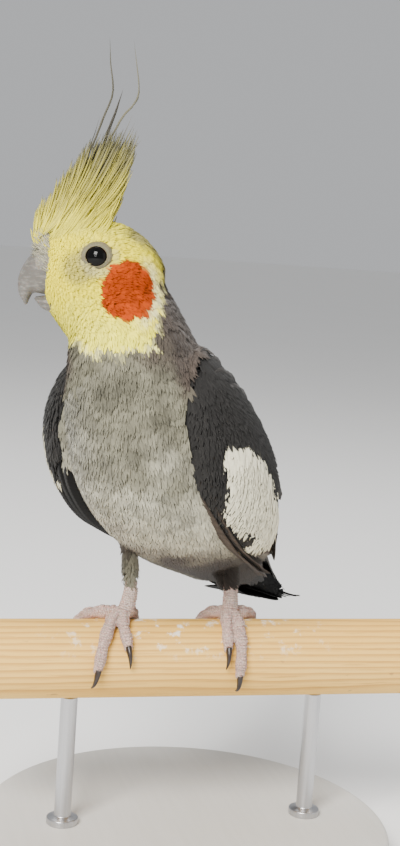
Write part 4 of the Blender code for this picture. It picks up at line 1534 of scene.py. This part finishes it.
def lid_look():
    """Bare grey skin of the lids, with fine folds."""
    skin = Paint("lid_skin", Roughness=0.6, Specular_IOR_Level=0.35,
                 Subsurface_Weight=0.15, Subsurface_Scale=0.001)
    fold = skin.noise(1500.0, 4.0, 0.6)
    blotch = skin.noise(500.0, 2.0)
    skin.layers(tint(98, 92, 68), (blotch, tint(132, 125, 94)), (fold * 0.6, tint(98, 92, 74)))
    skin.bump(fold, 0.6, 0.0002)
    return skin.material


def eyeball(side, axes, radius, look):
    """One eyeball, with the distance from its pupil's middle kept for its look."""
    centre, out, forward, up = axes
    polar = np.linspace(0.0, np.pi, 40)
    rings = (centre + out * (radius * np.cos(polar))[:, None, None]
             + spokes(forward, up, circle(72))[None] * (radius * np.sin(polar))[:, None, None])
    ball = loft("eyeball_" + side, rings)
    around = mesh_points(ball) - centre
    away = np.linalg.norm(np.cross(around, out), axis=1) / radius
    away[around @ out < 0] = 1.0
    keep(ball.data, "depth", away, "FLOAT")
    finish_piece(ball, look, ("eye_" + side,))


def lid(side, axes, opening, look):
    """The ring of bare skin round one eye, slightly oval and creased on its outer side."""
    centre, out, forward, up = axes
    turns = circle(72)
    upper = 1.0 - LID_SQUASH * np.abs(np.sin(turns)) ** 1.5
    slant = 1.0 + 0.05 * np.abs(np.cos(turns)) ** 4
    crease = np.where(LID_SECTION[:, 0] > 0.5, 1.0, 0.0)[:, None] * (
        0.05 * np.sin(turns * 26 + 1.0) + 0.05 * np.sin(turns * 15))
    high = (LID_SECTION[:, 1, None] + crease) * MM
    wide = (opening + LID_SECTION[:, 0, None]) * (upper * slant)[None] * MM
    ring = (centre + out * high[..., None]
            + forward * (wide * np.cos(turns))[..., None]
            + up * (wide * np.sin(turns))[..., None])
    back = ring[::-1] - out * LID_THICK
    made = loft("lid_" + side, np.concatenate([ring, back[[0, -1]]]))
    finish_piece(made, look)


def lid_beads(side, axes, opening, look):
    """Rows of small beads that edge the lids of one eye."""
    centre, out, forward, up = axes
    spots, rises, runs, factors = [], [], [], []
    draw = np.random.default_rng(SEED + 5)
    for reach, high, number in LID_BEADS:
        angles = circle(number) + draw.normal(0, 0.03, number) + reach
        squash = 1.0 - LID_SQUASH * np.abs(np.sin(angles)) ** 1.5
        ways = spokes(forward, up, angles)
        spots.append(centre + out * high * MM + ways * (opening + reach) * MM * squash[:, None])
        rises.append(unit(out + ways * 0.5 * reach))
        runs.append(np.cross(out, ways))
        factors.append(draw.uniform(0.75, 1.15, number))
    made = beads("lid_beads_" + side, np.vstack(spots), np.vstack(rises), np.vstack(runs),
                 np.concatenate(factors), look, LID_BEAD_SIZE)
    finish_piece(made, None)


class COCKATIEL_OT_eyes(bpy.types.Operator):
    """Set both eyes in their sockets, with lids and a beaded bare rim round them"""

    bl_idname = "cockatiel.eyes"
    bl_label = "Eyes and lids"

    def execute(self, context):
        hard = context.scene.cockatiel_hard
        wet, skin = eye_look(hard), lid_look()
        opening = hard.lid_opening / MM
        for side, sign in SIDES:
            axes = eye_axes(sign)
            eyeball(side, axes, hard.eye_radius, wet)
            lid(side, axes, opening, skin)
            lid_beads(side, axes, opening, skin)
        return {"FINISHED"}


# Bill: forward and up of its ridge, forward and up of its inner edge, half width
BILL_UPPER = np.array([
    (9.0, 5.4, 9.0, -7.4, 5.2),
    (14.0, 6.5, 12.8, -7.5, 5.7),
    (18.2, 5.4, 16.0, -7.3, 5.3),
    (21.6, 2.0, 18.4, -7.1, 4.4),
    (23.7, -2.8, 19.6, -7.4, 3.1),
    (23.5, -7.2, 20.3, -8.7, 1.8),
    (21.6, -10.6, 20.9, -10.2, 0.5),
])
BILL_LOWER = np.array([
    (9.0, -7.6, 9.0, -12.0, 4.2),
    (13.0, -7.6, 13.2, -12.4, 4.4),
    (16.2, -7.4, 16.6, -11.6, 3.6),
    (18.4, -7.8, 19.2, -9.0, 1.4),
])

# Rows of the bill's table that the cere covers, and a nostril's row and turn
CERE_ROWS = (0.5, 2.35)
NOSTRIL_PLACE = (1.62, math.radians(48))


def bill_rings(table, places, turns, grow=0.0, keel=0.0):
    """Sections of the bill at rows of its table, with their points in the head's frame."""
    rows = curve(table, places)
    ridge = rows[:, (0, 1)]
    inner = rows[:, (2, 3)]
    middle = (ridge + inner) / 2
    rise = unit(ridge - inner)
    tall = np.linalg.norm(ridge - inner, axis=1) / 2
    grow = np.broadcast_to(grow, (len(places), len(turns)))
    pinch = 1.0 - keel * np.clip(np.sin(turns), 0, 1) ** 3
    side = (rows[:, 4, None] * pinch + grow) * np.cos(turns)
    high = (tall[:, None] + grow) * np.sin(turns)
    return np.stack([middle[:, 0, None] + rise[:, 0, None] * high, side,
                     middle[:, 1, None] + rise[:, 1, None] * high], -1)


def horn_look(hard):
    """Grey horn of the bill, with pale flakes and growth lines."""
    horn = Paint("bill_horn", Roughness=0.42, Specular_IOR_Level=0.45,
                 Subsurface_Weight=0.1, Subsurface_Scale=0.001)
    growth = horn.noise(420.0, 4.0, 0.6, (1.0, 1.0, 3.2), (0.0, 0.5, 0.0))
    flake = horn.noise(1500.0, 4.0, 0.65)
    cloud = horn.noise(160.0, 2.0)
    horn.layers(hard.bill[:], (cloud, tint(118, 114, 108)),
                (horn.span(growth, 0.45, 0.75) * 0.5, tint(158, 155, 148)),
                (horn.span(flake, 0.6, 0.75) * 0.5, tint(118, 106, 100)))
    horn.set("Roughness", 0.34 + 0.3 * flake)
    horn.bump(growth + flake * 0.5, 0.4, 0.0003)
    return horn.material


def cere_look(hard):
    """Powdery grey flesh of the cere."""
    flesh = Paint("cere_skin", Roughness=0.75, Specular_IOR_Level=0.25,
                  Subsurface_Weight=0.15, Subsurface_Scale=0.001)
    powder = flesh.noise(1900.0, 5.0, 0.7)
    patch = flesh.noise(420.0, 3.0)
    flesh.layers(hard.cere[:], (patch, tint(126, 121, 112)),
                 (flesh.span(powder, 0.5, 0.7) * 0.7, tint(178, 173, 160)))
    flesh.bump(powder + patch, 0.7, 0.0004)
    return flesh.material


def nostrils(flesh):
    """Sets a swollen ring on each side of the cere, and in it a shallow hollow painted near-black
    as the shade inside the nostril.
    """
    # Painted shade: the nostril's hollow is a shallow body coloured almost black, standing for the
    # shade inside the opening
    dark = Paint("nostril_painted_shade", Roughness=0.8)
    dark.shader.inputs["Base Color"].default_value = (0.012, 0.01, 0.009, 1.0)
    rim_turns = circle(28)
    for side, sign in SIDES:
        row, turn = NOSTRIL_PLACE
        spot = bill_rings(BILL_UPPER, np.array([row]), np.array([turn]), 0.72)[0, 0]
        spot = spot * (1.0, sign, 1.0)
        out = unit(np.array([0.35, sign * 0.8, 0.55]))
        along = unit(np.cross(out, (0.0, 0.0, 1.0)))
        rise = np.cross(along, out)
        ways = spokes(along * 1.15, rise, rim_turns)
        rings = [spot - out * 0.1 + ways * (0.62 + 0.24 * math.cos(turn))
                 + out * 0.26 * math.sin(turn) for turn in circle(12)]
        faces = ring_faces(12, 28, closed=True)[:, ::-sign]
        rim = plain_mesh("nostril_rim_" + side, out_of(SKULL, np.vstack(rings)), faces)
        finish_piece(rim, flesh)
        depth = np.linspace(0.02, 0.98, 8) * np.pi
        rings = [spot - out * (0.12 - 0.12 * math.cos(turn)) + ways * 0.58 * math.sin(turn)
                 for turn in depth]
        hollow = loft("nostril_" + side, out_of(SKULL, np.array(rings)))
        finish_piece(hollow, dark.material)


class COCKATIEL_OT_bill(bpy.types.Operator):
    """Shape the hooked bill, its lower half, the cere and the nostrils"""

    bl_idname = "cockatiel.bill"
    bl_label = "Bill and cere"

    def execute(self, context):
        hard = context.scene.cockatiel_hard
        horn = horn_look(hard)
        turns = circle(48)
        for half, table, count, grow, keel in (("upper", BILL_UPPER, 56, 0.0, 0.16),
                                               ("lower", BILL_LOWER, 30, -0.25, 0.0)):
            places = np.linspace(0.0, len(table) - 1, count)
            rings = out_of(SKULL, bill_rings(table, places, turns, grow, keel))
            finish_piece(loft("bill_horn_" + half, rings), horn, ("bill_" + half,))

        flesh = cere_look(hard)
        first, last = CERE_ROWS
        places = np.linspace(first, last, 30)
        swell = np.sin(np.pi * np.clip((places - first) / (last - first), 0, 1)) ** 0.55
        over = step(-0.15, 0.45, np.sin(turns))
        grow = 0.85 * swell[:, None] * over[None] - 0.25 * (1 - over)[None]
        cere = bill_rings(BILL_UPPER, places, turns, grow)
        finish_piece(loft("cere", out_of(SKULL, cere)), flesh)

        nostrils(flesh)
        return {"FINISHED"}


# Middle lines of the shanks in the row's axes, in millimetres, from the top
SHANKS = {
    "right": [(-21.4, 1.0, 84.0), (-21.6, 0.8, 81.0), (-22.3, 0.2, 77.6), (-23.2, -0.6, 74.4)],
    "left": [(9.9, 3.8, 84.0), (9.8, 3.2, 81.0), (9.4, 1.4, 77.6), (9.0, -0.4, 74.4)],
}
# Toes over the round perch: where along X, turned how far over the front, in degrees
TOES = {
    "right": [
        [(-22.6, -4), (-19.4, -26), (-17.6, -58)],
        [(-23.6, 4), (-24.6, 26), (-23.7, 60)],
        [(-24.4, 4), (-27.6, 20), (-30.8, 54), (-32.6, 88)],
        [(-24.6, -4), (-29.6, -16), (-33.8, -38), (-36.6, -72)],
    ],
    "left": [
        [(8.4, -4), (4.6, -26), (2.6, -58)],
        [(8.4, 4), (6.9, 26), (6.2, 62)],
        [(9.4, 4), (10.3, 26), (10.2, 62), (9.9, 97)],
        [(9.6, -4), (14.4, -14), (18.4, -36), (20.6, -70)],
    ],
}
TOE_RADII = (2.1, 1.5)
SHANK_RADII = ((0, 0.5, 0.85, 1), (1.75, 1.95, 2.25, 2.5))
CLAW_RADIUS = 1.05
CLAW_TIP = 0.12
CLAW_START = 3.0
CLAW_TURN = 25.0
CLAW_RISE = 0.9
CLAW_LIFT = 0.5
CLAW_GAP = 0.0003
TOE_POINTS = 34
SHANK_POINTS = 30
# A scute's length, width and height on a toe of this radius, and how far apart they are
SCUTE_SIZE = (0.00105, 0.0026, 0.0011)
SCUTE_TOE = 1.8
SCUTE_STEP = 0.95


def over_perch(x, turn, radius):
    """Points over the round perch in metres, and the way straight off it."""
    angle = np.radians(turn)
    out = np.stack([0 * angle, -np.sin(angle), np.cos(angle)], -1)
    point = out * np.asarray(radius)[..., None]
    point[..., 0] = x * MM
    point[..., 2] += PERCH_AXIS
    return point, out


def tube_rings(points, outs, wide, high, turns):
    """Sections round a path, each with its own half width and half height."""
    along = unit(np.gradient(points, axis=0))
    side = unit(np.cross(outs, along))
    up = np.cross(along, side)
    return (points[:, None] + side[:, None] * (wide[:, None] * np.cos(turns))[..., None]
            + up[:, None] * (high[:, None] * np.sin(turns))[..., None])


def toe_line(stops, count):
    """Middle line of a toe, the way off the perch along it, and its radii with joint pads."""
    rows = curve(np.array(stops, float), np.linspace(0, len(stops) - 1, count))
    share = np.linspace(0, 1, count)
    radius = (TOE_RADII[0] + (TOE_RADII[1] - TOE_RADII[0]) * share) * MM
    pads = 1.0 + 0.09 * np.cos(share * 2 * np.pi * (len(stops) - 0.5)) * step(0.05, 0.3, share)
    point, out = over_perch(rows[:, 0], rows[:, 1], PERCH_RADIUS + radius * 0.92)
    return point, out, radius * pads


def toe_look(hard):
    """Pink scaly skin with pale dust on it."""
    flesh = Paint("toe_skin", Roughness=0.58, Specular_IOR_Level=0.35,
                  Subsurface_Weight=0.2, Subsurface_Scale=0.0012)
    grain = flesh.node("ShaderNodeTexVoronoi", {"feature": "DISTANCE_TO_EDGE"},
                       {"Vector": flesh.place(), "Scale": 1500.0})
    fine = flesh.noise(2200.0, 3.0)
    blotch = flesh.noise(300.0, 3.0)
    groove = flesh.span(grain, 0.0, 0.12)
    tone = flesh.mix(blotch, hard.toe[:], tint(186, 160, 150))
    tone = flesh.mix(flesh.span(fine, 0.5, 0.8) * 0.5, tone, tint(232, 218, 206))
    flesh.set("Base Color", flesh.mix(groove, tint(150, 122, 114), tone))
    flesh.bump(groove + fine * 0.4, 0.55, 0.0003)
    return flesh.material


def claw_look(hard):
    """Dark horn with fine streaks along it."""
    nail = Paint("claw_horn", Roughness=0.32, Specular_IOR_Level=0.5)
    streak = nail.noise(1500.0, 3.0, stretch=(1.0, 0.35, 0.35))
    nail.layers(hard.claw[:], (streak, tint(34, 27, 23)))
    nail.bump(streak, 0.3, 0.0002)
    return nail.material


def shank(side, turns, scutes, draw):
    """A shank's body. Its scutes join the list, each as place, way out, way along and size."""
    share = np.linspace(0, 1, SHANK_POINTS)
    line = curve(np.array(SHANKS[side], float), share * 3) * MM
    front = np.tile((0.0, -1.0, 0.2), (SHANK_POINTS, 1))
    thick = np.interp(share, *SHANK_RADII) * MM
    along = unit(np.gradient(line, axis=0))
    for index in range(8, 27, 2):
        for lean in (-0.75, 0.0, 0.75):
            out = unit(np.array([lean, -1.0, 0.0]))
            out = unit(out - along[index] * (out @ along[index]))
            scutes.append((line[index] + out * thick[index] * 0.94, out, along[index],
                           1.15 + draw.normal(0, 0.05)))
    return loft("shank", tube_rings(line, front, thick, thick, turns))


def toe(stops, turns, scutes, draw):
    """A toe's body and its round end. Its scutes join the list, as a shank's do."""
    point, out, radius = toe_line(stops, TOE_POINTS)
    way = unit(point[-1] - point[-2])
    end = point[-1] + way * radius[-1] * 0.2
    aside = unit(np.cross(way, out[-1]))
    ways = spokes(aside, np.cross(aside, way), turns)
    rings = [end - way * radius[-1] * 0.9 * math.cos(turn)
             + ways * radius[-1] * 0.98 * math.sin(turn)
             for turn in np.linspace(0.05, 0.95, 8) * np.pi]
    run = unit(np.gradient(point, axis=0))
    length = np.linalg.norm(np.diff(point, axis=0), axis=1).sum()
    for place in np.linspace(0.1, 0.98, int(length / (SCUTE_STEP * MM))):
        index = min(int(place * (TOE_POINTS - 1)), TOE_POINTS - 2)
        here, off, ahead, thick = point[index], out[index], run[index], radius[index]
        size = thick / (SCUTE_TOE * MM)
        scutes.append((here + off * thick * 0.86, off, ahead,
                       size * draw.uniform(0.93, 1.07)))
        for hand in (-1, 1):
            flank = unit(off * 0.35 + hand * np.cross(ahead, off))
            scutes.append((here + flank * thick * 0.93 + ahead * 0.4 * MM, flank, ahead,
                           0.5 * size))
    return [loft("toe", tube_rings(point, out, radius, radius * 0.96, turns)),
            loft("toe_end", rings)]


def claw(stops, turns):
    """One claw, curved over the perch from the end of its toe."""
    (last_x, last_turn), (near_x, near_turn) = stops[-1], stops[-2]
    way = 1 if last_turn > near_turn else -1
    slope = (last_x - near_x) / abs(last_turn - near_turn)
    t = np.linspace(-0.12, 1, 22)
    share = np.clip(t, 0, 1)
    radius = (CLAW_RADIUS * (1 - share) ** 0.8 + CLAW_TIP) * MM
    rise = (CLAW_LIFT + CLAW_RISE * np.sin(np.pi * share)) * MM
    point, out = over_perch(last_x + slope * CLAW_TURN * t,
                            last_turn + way * (CLAW_START + CLAW_TURN * t),
                            PERCH_RADIUS + CLAW_GAP + radius * 1.05 + rise)
    return loft("claw", tube_rings(point, out, radius * 0.78, radius, turns))


class COCKATIEL_OT_feet(bpy.types.Operator):
    """Close both feet over the perch, with scutes along the toes and shanks, and the claws"""

    bl_idname = "cockatiel.feet"
    bl_label = "Feet and claws"

    def execute(self, context):
        hard = context.scene.cockatiel_hard
        flesh, nail = toe_look(hard), claw_look(hard)
        turns = circle(20)
        draw = np.random.default_rng(SEED + 6)
        for side in ("right", "left"):
            scutes = []
            parts = [shank(side, turns, scutes, draw)]
            for stops in TOES[side]:
                parts += toe(stops, turns, scutes, draw)
            foot = one_surface("foot_skin_" + side, parts, FOOT_VOXEL, FOOT_ROUNDS)
            finish_piece(foot, flesh, ("foot_" + side,))
            plates = beads("foot_scutes_" + side, *zip(*scutes), flesh, SCUTE_SIZE)
            finish_piece(plates, None)
            nails = joined("claws_" + side, [claw(stops, turns) for stops in TOES[side]])
            finish_piece(nails, nail,
                         tuple(f"claw_{side}_{number}" for number in range(1, 5)))
        return {"FINISHED"}


def lathe(profile, turns, axis="Z"):
    """Sections of a turned body from its (radius, height) profile."""
    radius, high = np.asarray(profile, float).T
    ring = np.stack([radius[:, None] * np.cos(turns), radius[:, None] * np.sin(turns),
                     np.broadcast_to(high[:, None], (len(high), len(turns)))], -1)
    return ring if axis == "Z" else ring[..., (2, 0, 1)]


def eased(corners, radius, steps=4):
    """A (radius, height) profile with its inner corners rounded."""
    corners = np.asarray(corners, float)
    out = [corners[0]]
    for before, here, after in zip(corners, corners[1:], corners[2:]):
        start = here + unit(before - here) * radius
        stop = here + unit(after - here) * radius
        for t in np.linspace(0, 1, steps + 1):
            out.append((1 - t) ** 2 * start + 2 * t * (1 - t) * here + t ** 2 * stop)
    return np.array(out + [corners[-1]])


def pine_look(hard):
    """Pale pine with late wood in rings, fine fibres and dust where the bird stands."""
    pine = Paint("pine_wood", Roughness=0.62, Specular_IOR_Level=0.3)
    x, y, z = pine.split(pine.node("ShaderNodeTexCoord", output=3))
    warp = pine.noise(90.0, 3.0, stretch=(0.14, 1.0, 1.0))
    away = pine.node("ShaderNodeVectorMath", {"operation": "LENGTH"},
                     {0: pine.node("ShaderNodeCombineXYZ", None,
                                   {"Y": y + 0.019 + warp * 0.003,
                                    "Z": z - 0.033 + warp * 0.002})}, 1)
    ring = pine.node("ShaderNodeMath", {"operation": "FRACT"}, {0: away * 560.0})
    late = pine.span(ring, 0.35, 0.95) * pine.span(ring, 1.0, 0.96)
    fibre = pine.noise(1900.0, 4.0, 0.65, stretch=(0.035, 1.0, 1.0))
    pale = pine.noise(60.0, 3.0, stretch=(0.2, 1.0, 1.0))
    stain = pine.noise(240.0, 5.0, 0.7)
    under_feet = (pine.span(abs(x + 0.004), 0.052, 0.02)
                  * pine.span(z - PERCH_AXIS, 0.001, 0.009))
    dark_spot = pine.noise(330.0, 2.0, stretch=(0.5, 1.0, 1.0))
    pine.layers(hard.pine[:], (pale, tint(242, 206, 124)), (late * 0.75, tint(200, 146, 66)),
                (pine.span(fibre, 0.52, 0.72) * 0.55, tint(190, 138, 66)),
                (pine.span(stain, 0.56, 0.66) * under_feet * 0.8, tint(244, 240, 228)),
                (pine.span(dark_spot, 0.7, 0.76) * 0.5, tint(150, 112, 74)))
    pine.set("Roughness", 0.5 + 0.25 * fibre)
    pine.bump(fibre * 0.6 + late * 0.3 + stain * 0.4, 0.4, 0.0003)
    return pine.material


class COCKATIEL_OT_perch(bpy.types.Operator):
    """Turn the short cut length of pine that the bird grips"""

    bl_idname = "cockatiel.perch"
    bl_label = "Perch"

    def execute(self, context):
        hard = context.scene.cockatiel_hard
        low, high = PERCH_BOX
        radius = hard.perch_radius
        half = (high.x - low.x) / 2
        middle = np.linspace(-half + 0.003, half - 0.003, 60)
        profile = eased([(0.0005, -half), (radius, -half), (radius, -half + 0.002)], 0.0007)
        profile = [tuple(row) for row in profile] + [(radius, x) for x in middle]
        profile += [(r, -x) for r, x in profile[:8][::-1]]
        rings = lathe(profile, circle(128), "X")
        rings[..., 2] += PERCH_AXIS
        finish_piece(loft("perch_dowel", rings), pine_look(hard), ("perch",))
        return {"FINISHED"}


def board_look(hard):
    """Pale satin paint with faint brush marks."""
    board = Paint("painted_board", Roughness=0.5, Specular_IOR_Level=0.4)
    brush = board.noise(520.0, 4.0, stretch=(1.0, 0.06, 1.0))
    cloud = board.noise(30.0, 2.0)
    board.layers(hard.board[:], (brush * 0.6, tint(196, 192, 184)))
    board.set("Roughness", 0.42 + 0.12 * cloud)
    board.bump(brush, 0.15, 0.0002)
    return board.material


def steel_look(hard):
    """Brushed steel with scratches along the rods."""
    steel = Paint("brushed_steel", Metallic=1.0, Roughness=0.3)
    scratch = steel.noise(2600.0, 3.0, stretch=(1.0, 1.0, 0.02))
    steel.layers(hard.steel[:], (scratch, tint(206, 206, 208)))
    steel.set("Roughness", 0.22 + 0.2 * scratch)
    steel.bump(scratch, 0.1, 0.0001)
    return steel.material


class COCKATIEL_OT_stand(bpy.types.Operator):
    """Turn the stand's board and the two rods up to the perch"""

    bl_idname = "cockatiel.stand"
    bl_label = "Display stand"

    def execute(self, context):
        hard = context.scene.cockatiel_hard
        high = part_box("stand_base")[1]
        wide, tall = high.x, high.z
        profile = eased([(0.0005, 0.0), (wide, 0.0), (wide, tall), (0.0005, tall)], 0.0016, 6)
        profile = np.vstack([profile[:-1], [(wide * k / 8, tall) for k in range(7, 0, -1)],
                             profile[-1:]])
        finish_piece(loft("stand_board", lathe(profile, circle(160))), board_look(hard),
                     ("stand_base",))

        steel = steel_look(hard)
        for name in ("stand_rod_left", "stand_rod_right"):
            low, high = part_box(name)
            radius = (high.y - low.y) / 2
            profile = eased([(0.0003, low.z - 0.0003), (radius * 1.9, low.z - 0.0003),
                             (radius * 1.9, low.z + 0.0016), (radius, low.z + 0.0022),
                             (radius, high.z - 0.0006), (radius, high.z)], 0.0003)
            rings = lathe(profile, circle(40))
            rings[..., 0] += (low.x + high.x) / 2
            rings[..., 1] += (low.y + high.y) / 2
            finish_piece(loft(name.replace("rod", "post"), rings), steel, (name,))
        return {"FINISHED"}


# Lamps: name, place, size, power in watts and colour, all aimed at the bird's breast
LAMPS = (("key_light", (-0.55, -0.75, 0.85), 0.5, 29.0, (1.0, 0.98, 0.95)),
         ("fill_light", (0.9, -0.6, 0.45), 0.9, 2.2, (0.96, 0.98, 1.0)),
         ("top_light", (0.1, 0.35, 1.0), 0.7, 4.0, (1.0, 1.0, 1.0)))
LAMP_AIM = Vector((0.0, 0.0, 0.13))
ROOM_COLOUR = (0.93, 0.945, 0.97, 1.0)
ROOM_LIGHT = 0.55
FLOOR_REACH = 30.0

# The photographed view. The photo's size, the focal length and the feet's place are in pixels
PHOTO_WIDE, PHOTO_TALL = 400, 846
FOCAL = 1400.0
FEET_SPOT = (180, 620)
VIEW_AZIMUTH, VIEW_ELEVATION, VIEW_ROLL = (math.radians(angle) for angle in (-15.0, 7.0, 4.0139))
VIEW_AWAY = 0.418
SENSOR = 36.0


def lay_floor(scene):
    """A wide pale floor."""
    corners = np.array([(-1, -1, 0), (1, -1, 0), (1, 1, 0), (-1, 1, 0)]) * FLOOR_REACH
    floor = plain_mesh("floor", corners, np.array([(0, 1, 2, 3)]))
    paint = Paint("floor_paper", Roughness=0.9, Specular_IOR_Level=0.2)
    paint.layers(scene.cockatiel_hard.floor[:], (paint.noise(3.0, 2.0), tint(248, 247, 244)))
    floor.data.materials.append(paint.material)


def hang_lamps(scene):
    """Three soft lamps in a dim, even room."""
    for name, place, size, power, shade in LAMPS:
        lamp = bpy.data.lights.new(name, "AREA")
        lamp.size = size
        lamp.energy = power
        lamp.color = shade
        made = placed(name, lamp)
        made.location = place
        made.rotation_euler = (LAMP_AIM - Vector(place)).to_track_quat("-Z", "Y").to_euler()
    world = bpy.data.worlds.new("soft_room")
    world.use_nodes = True
    sky = world.node_tree.nodes["Background"].inputs
    sky["Color"].default_value = ROOM_COLOUR
    sky["Strength"].default_value = ROOM_LIGHT
    scene.world = world


def set_camera(scene):
    """The camera, placed so that the feet are where the photo shows them."""
    back = Vector((math.sin(VIEW_AZIMUTH) * math.cos(VIEW_ELEVATION),
                   -math.cos(VIEW_AZIMUTH) * math.cos(VIEW_ELEVATION),
                   math.sin(VIEW_ELEVATION)))
    right = (-back).cross(Vector((0, 0, 1))).normalized()
    upward = right.cross(-back)
    right, upward = (right * math.cos(VIEW_ROLL) + upward * math.sin(VIEW_ROLL),
                     upward * math.cos(VIEW_ROLL) - right * math.sin(VIEW_ROLL))
    aside = (FEET_SPOT[0] - PHOTO_WIDE / 2) / FOCAL
    below = (FEET_SPOT[1] - PHOTO_TALL / 2) / FOCAL
    feet = Vector((FEET_X, 0.0, PERCH_TOP))
    data = bpy.data.cameras.new("camera")
    data.lens = FOCAL * SENSOR / PHOTO_TALL
    data.sensor_width = SENSOR
    data.clip_start = 0.01
    camera = placed("camera", data)
    turn = np.eye(4)
    turn[:3, 0], turn[:3, 1], turn[:3, 2] = right, upward, back
    turn[:3, 3] = feet - VIEW_AWAY * (-back + right * aside - upward * below)
    camera.matrix_world = Matrix(turn.tolist())
    scene.camera = camera


class COCKATIEL_OT_stage(bpy.types.Operator):
    """Pale floor, soft lights and the camera at the photographed view"""

    bl_idname = "cockatiel.stage"
    bl_label = "Stage"

    def execute(self, context):
        lay_floor(context.scene)
        hang_lamps(context.scene)
        set_camera(context.scene)
        return {"FINISHED"}


PIECES = (COCKATIEL_OT_skin, COCKATIEL_OT_coat, COCKATIEL_OT_wings, COCKATIEL_OT_tail,
          COCKATIEL_OT_crest, COCKATIEL_OT_eyes, COCKATIEL_OT_bill, COCKATIEL_OT_feet,
          COCKATIEL_OT_perch, COCKATIEL_OT_stand, COCKATIEL_OT_stage)


class COCKATIEL_PT_pieces(bpy.types.Panel):
    """Builds the cockatiel piece by piece"""

    bl_idname = "COCKATIEL_PT_pieces"
    bl_label = "Cockatiel"
    bl_space_type = "VIEW_3D"
    bl_region_type = "UI"
    bl_category = "Cockatiel"

    def draw(self, context):
        for group in ("cockatiel_plumage", "cockatiel_hard"):
            settings = getattr(context.scene, group)
            column = self.layout.column()
            for name in settings.__annotations__:
                column.prop(settings, name)
        for piece in PIECES:
            self.layout.operator(piece.bl_idname)


CLASSES = (PlumageSettings, HardSettings) + PIECES + (COCKATIEL_PT_pieces,)


def register():
    """Adds the settings, the operators and the panel."""
    for item in CLASSES:
        bpy.utils.register_class(item)
    bpy.types.Scene.cockatiel_plumage = PointerProperty(type=PlumageSettings)
    bpy.types.Scene.cockatiel_hard = PointerProperty(type=HardSettings)


def unregister():
    """Takes the settings, the operators and the panel away again."""
    del bpy.types.Scene.cockatiel_plumage
    del bpy.types.Scene.cockatiel_hard
    for item in reversed(CLASSES):
        bpy.utils.unregister_class(item)


def main():
    """Builds every piece in order."""
    register()
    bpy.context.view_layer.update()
    for piece in PIECES:
        group, name = piece.bl_idname.split(".")
        getattr(getattr(bpy.ops, group), name)()


if __name__ == "__main__":
    main()
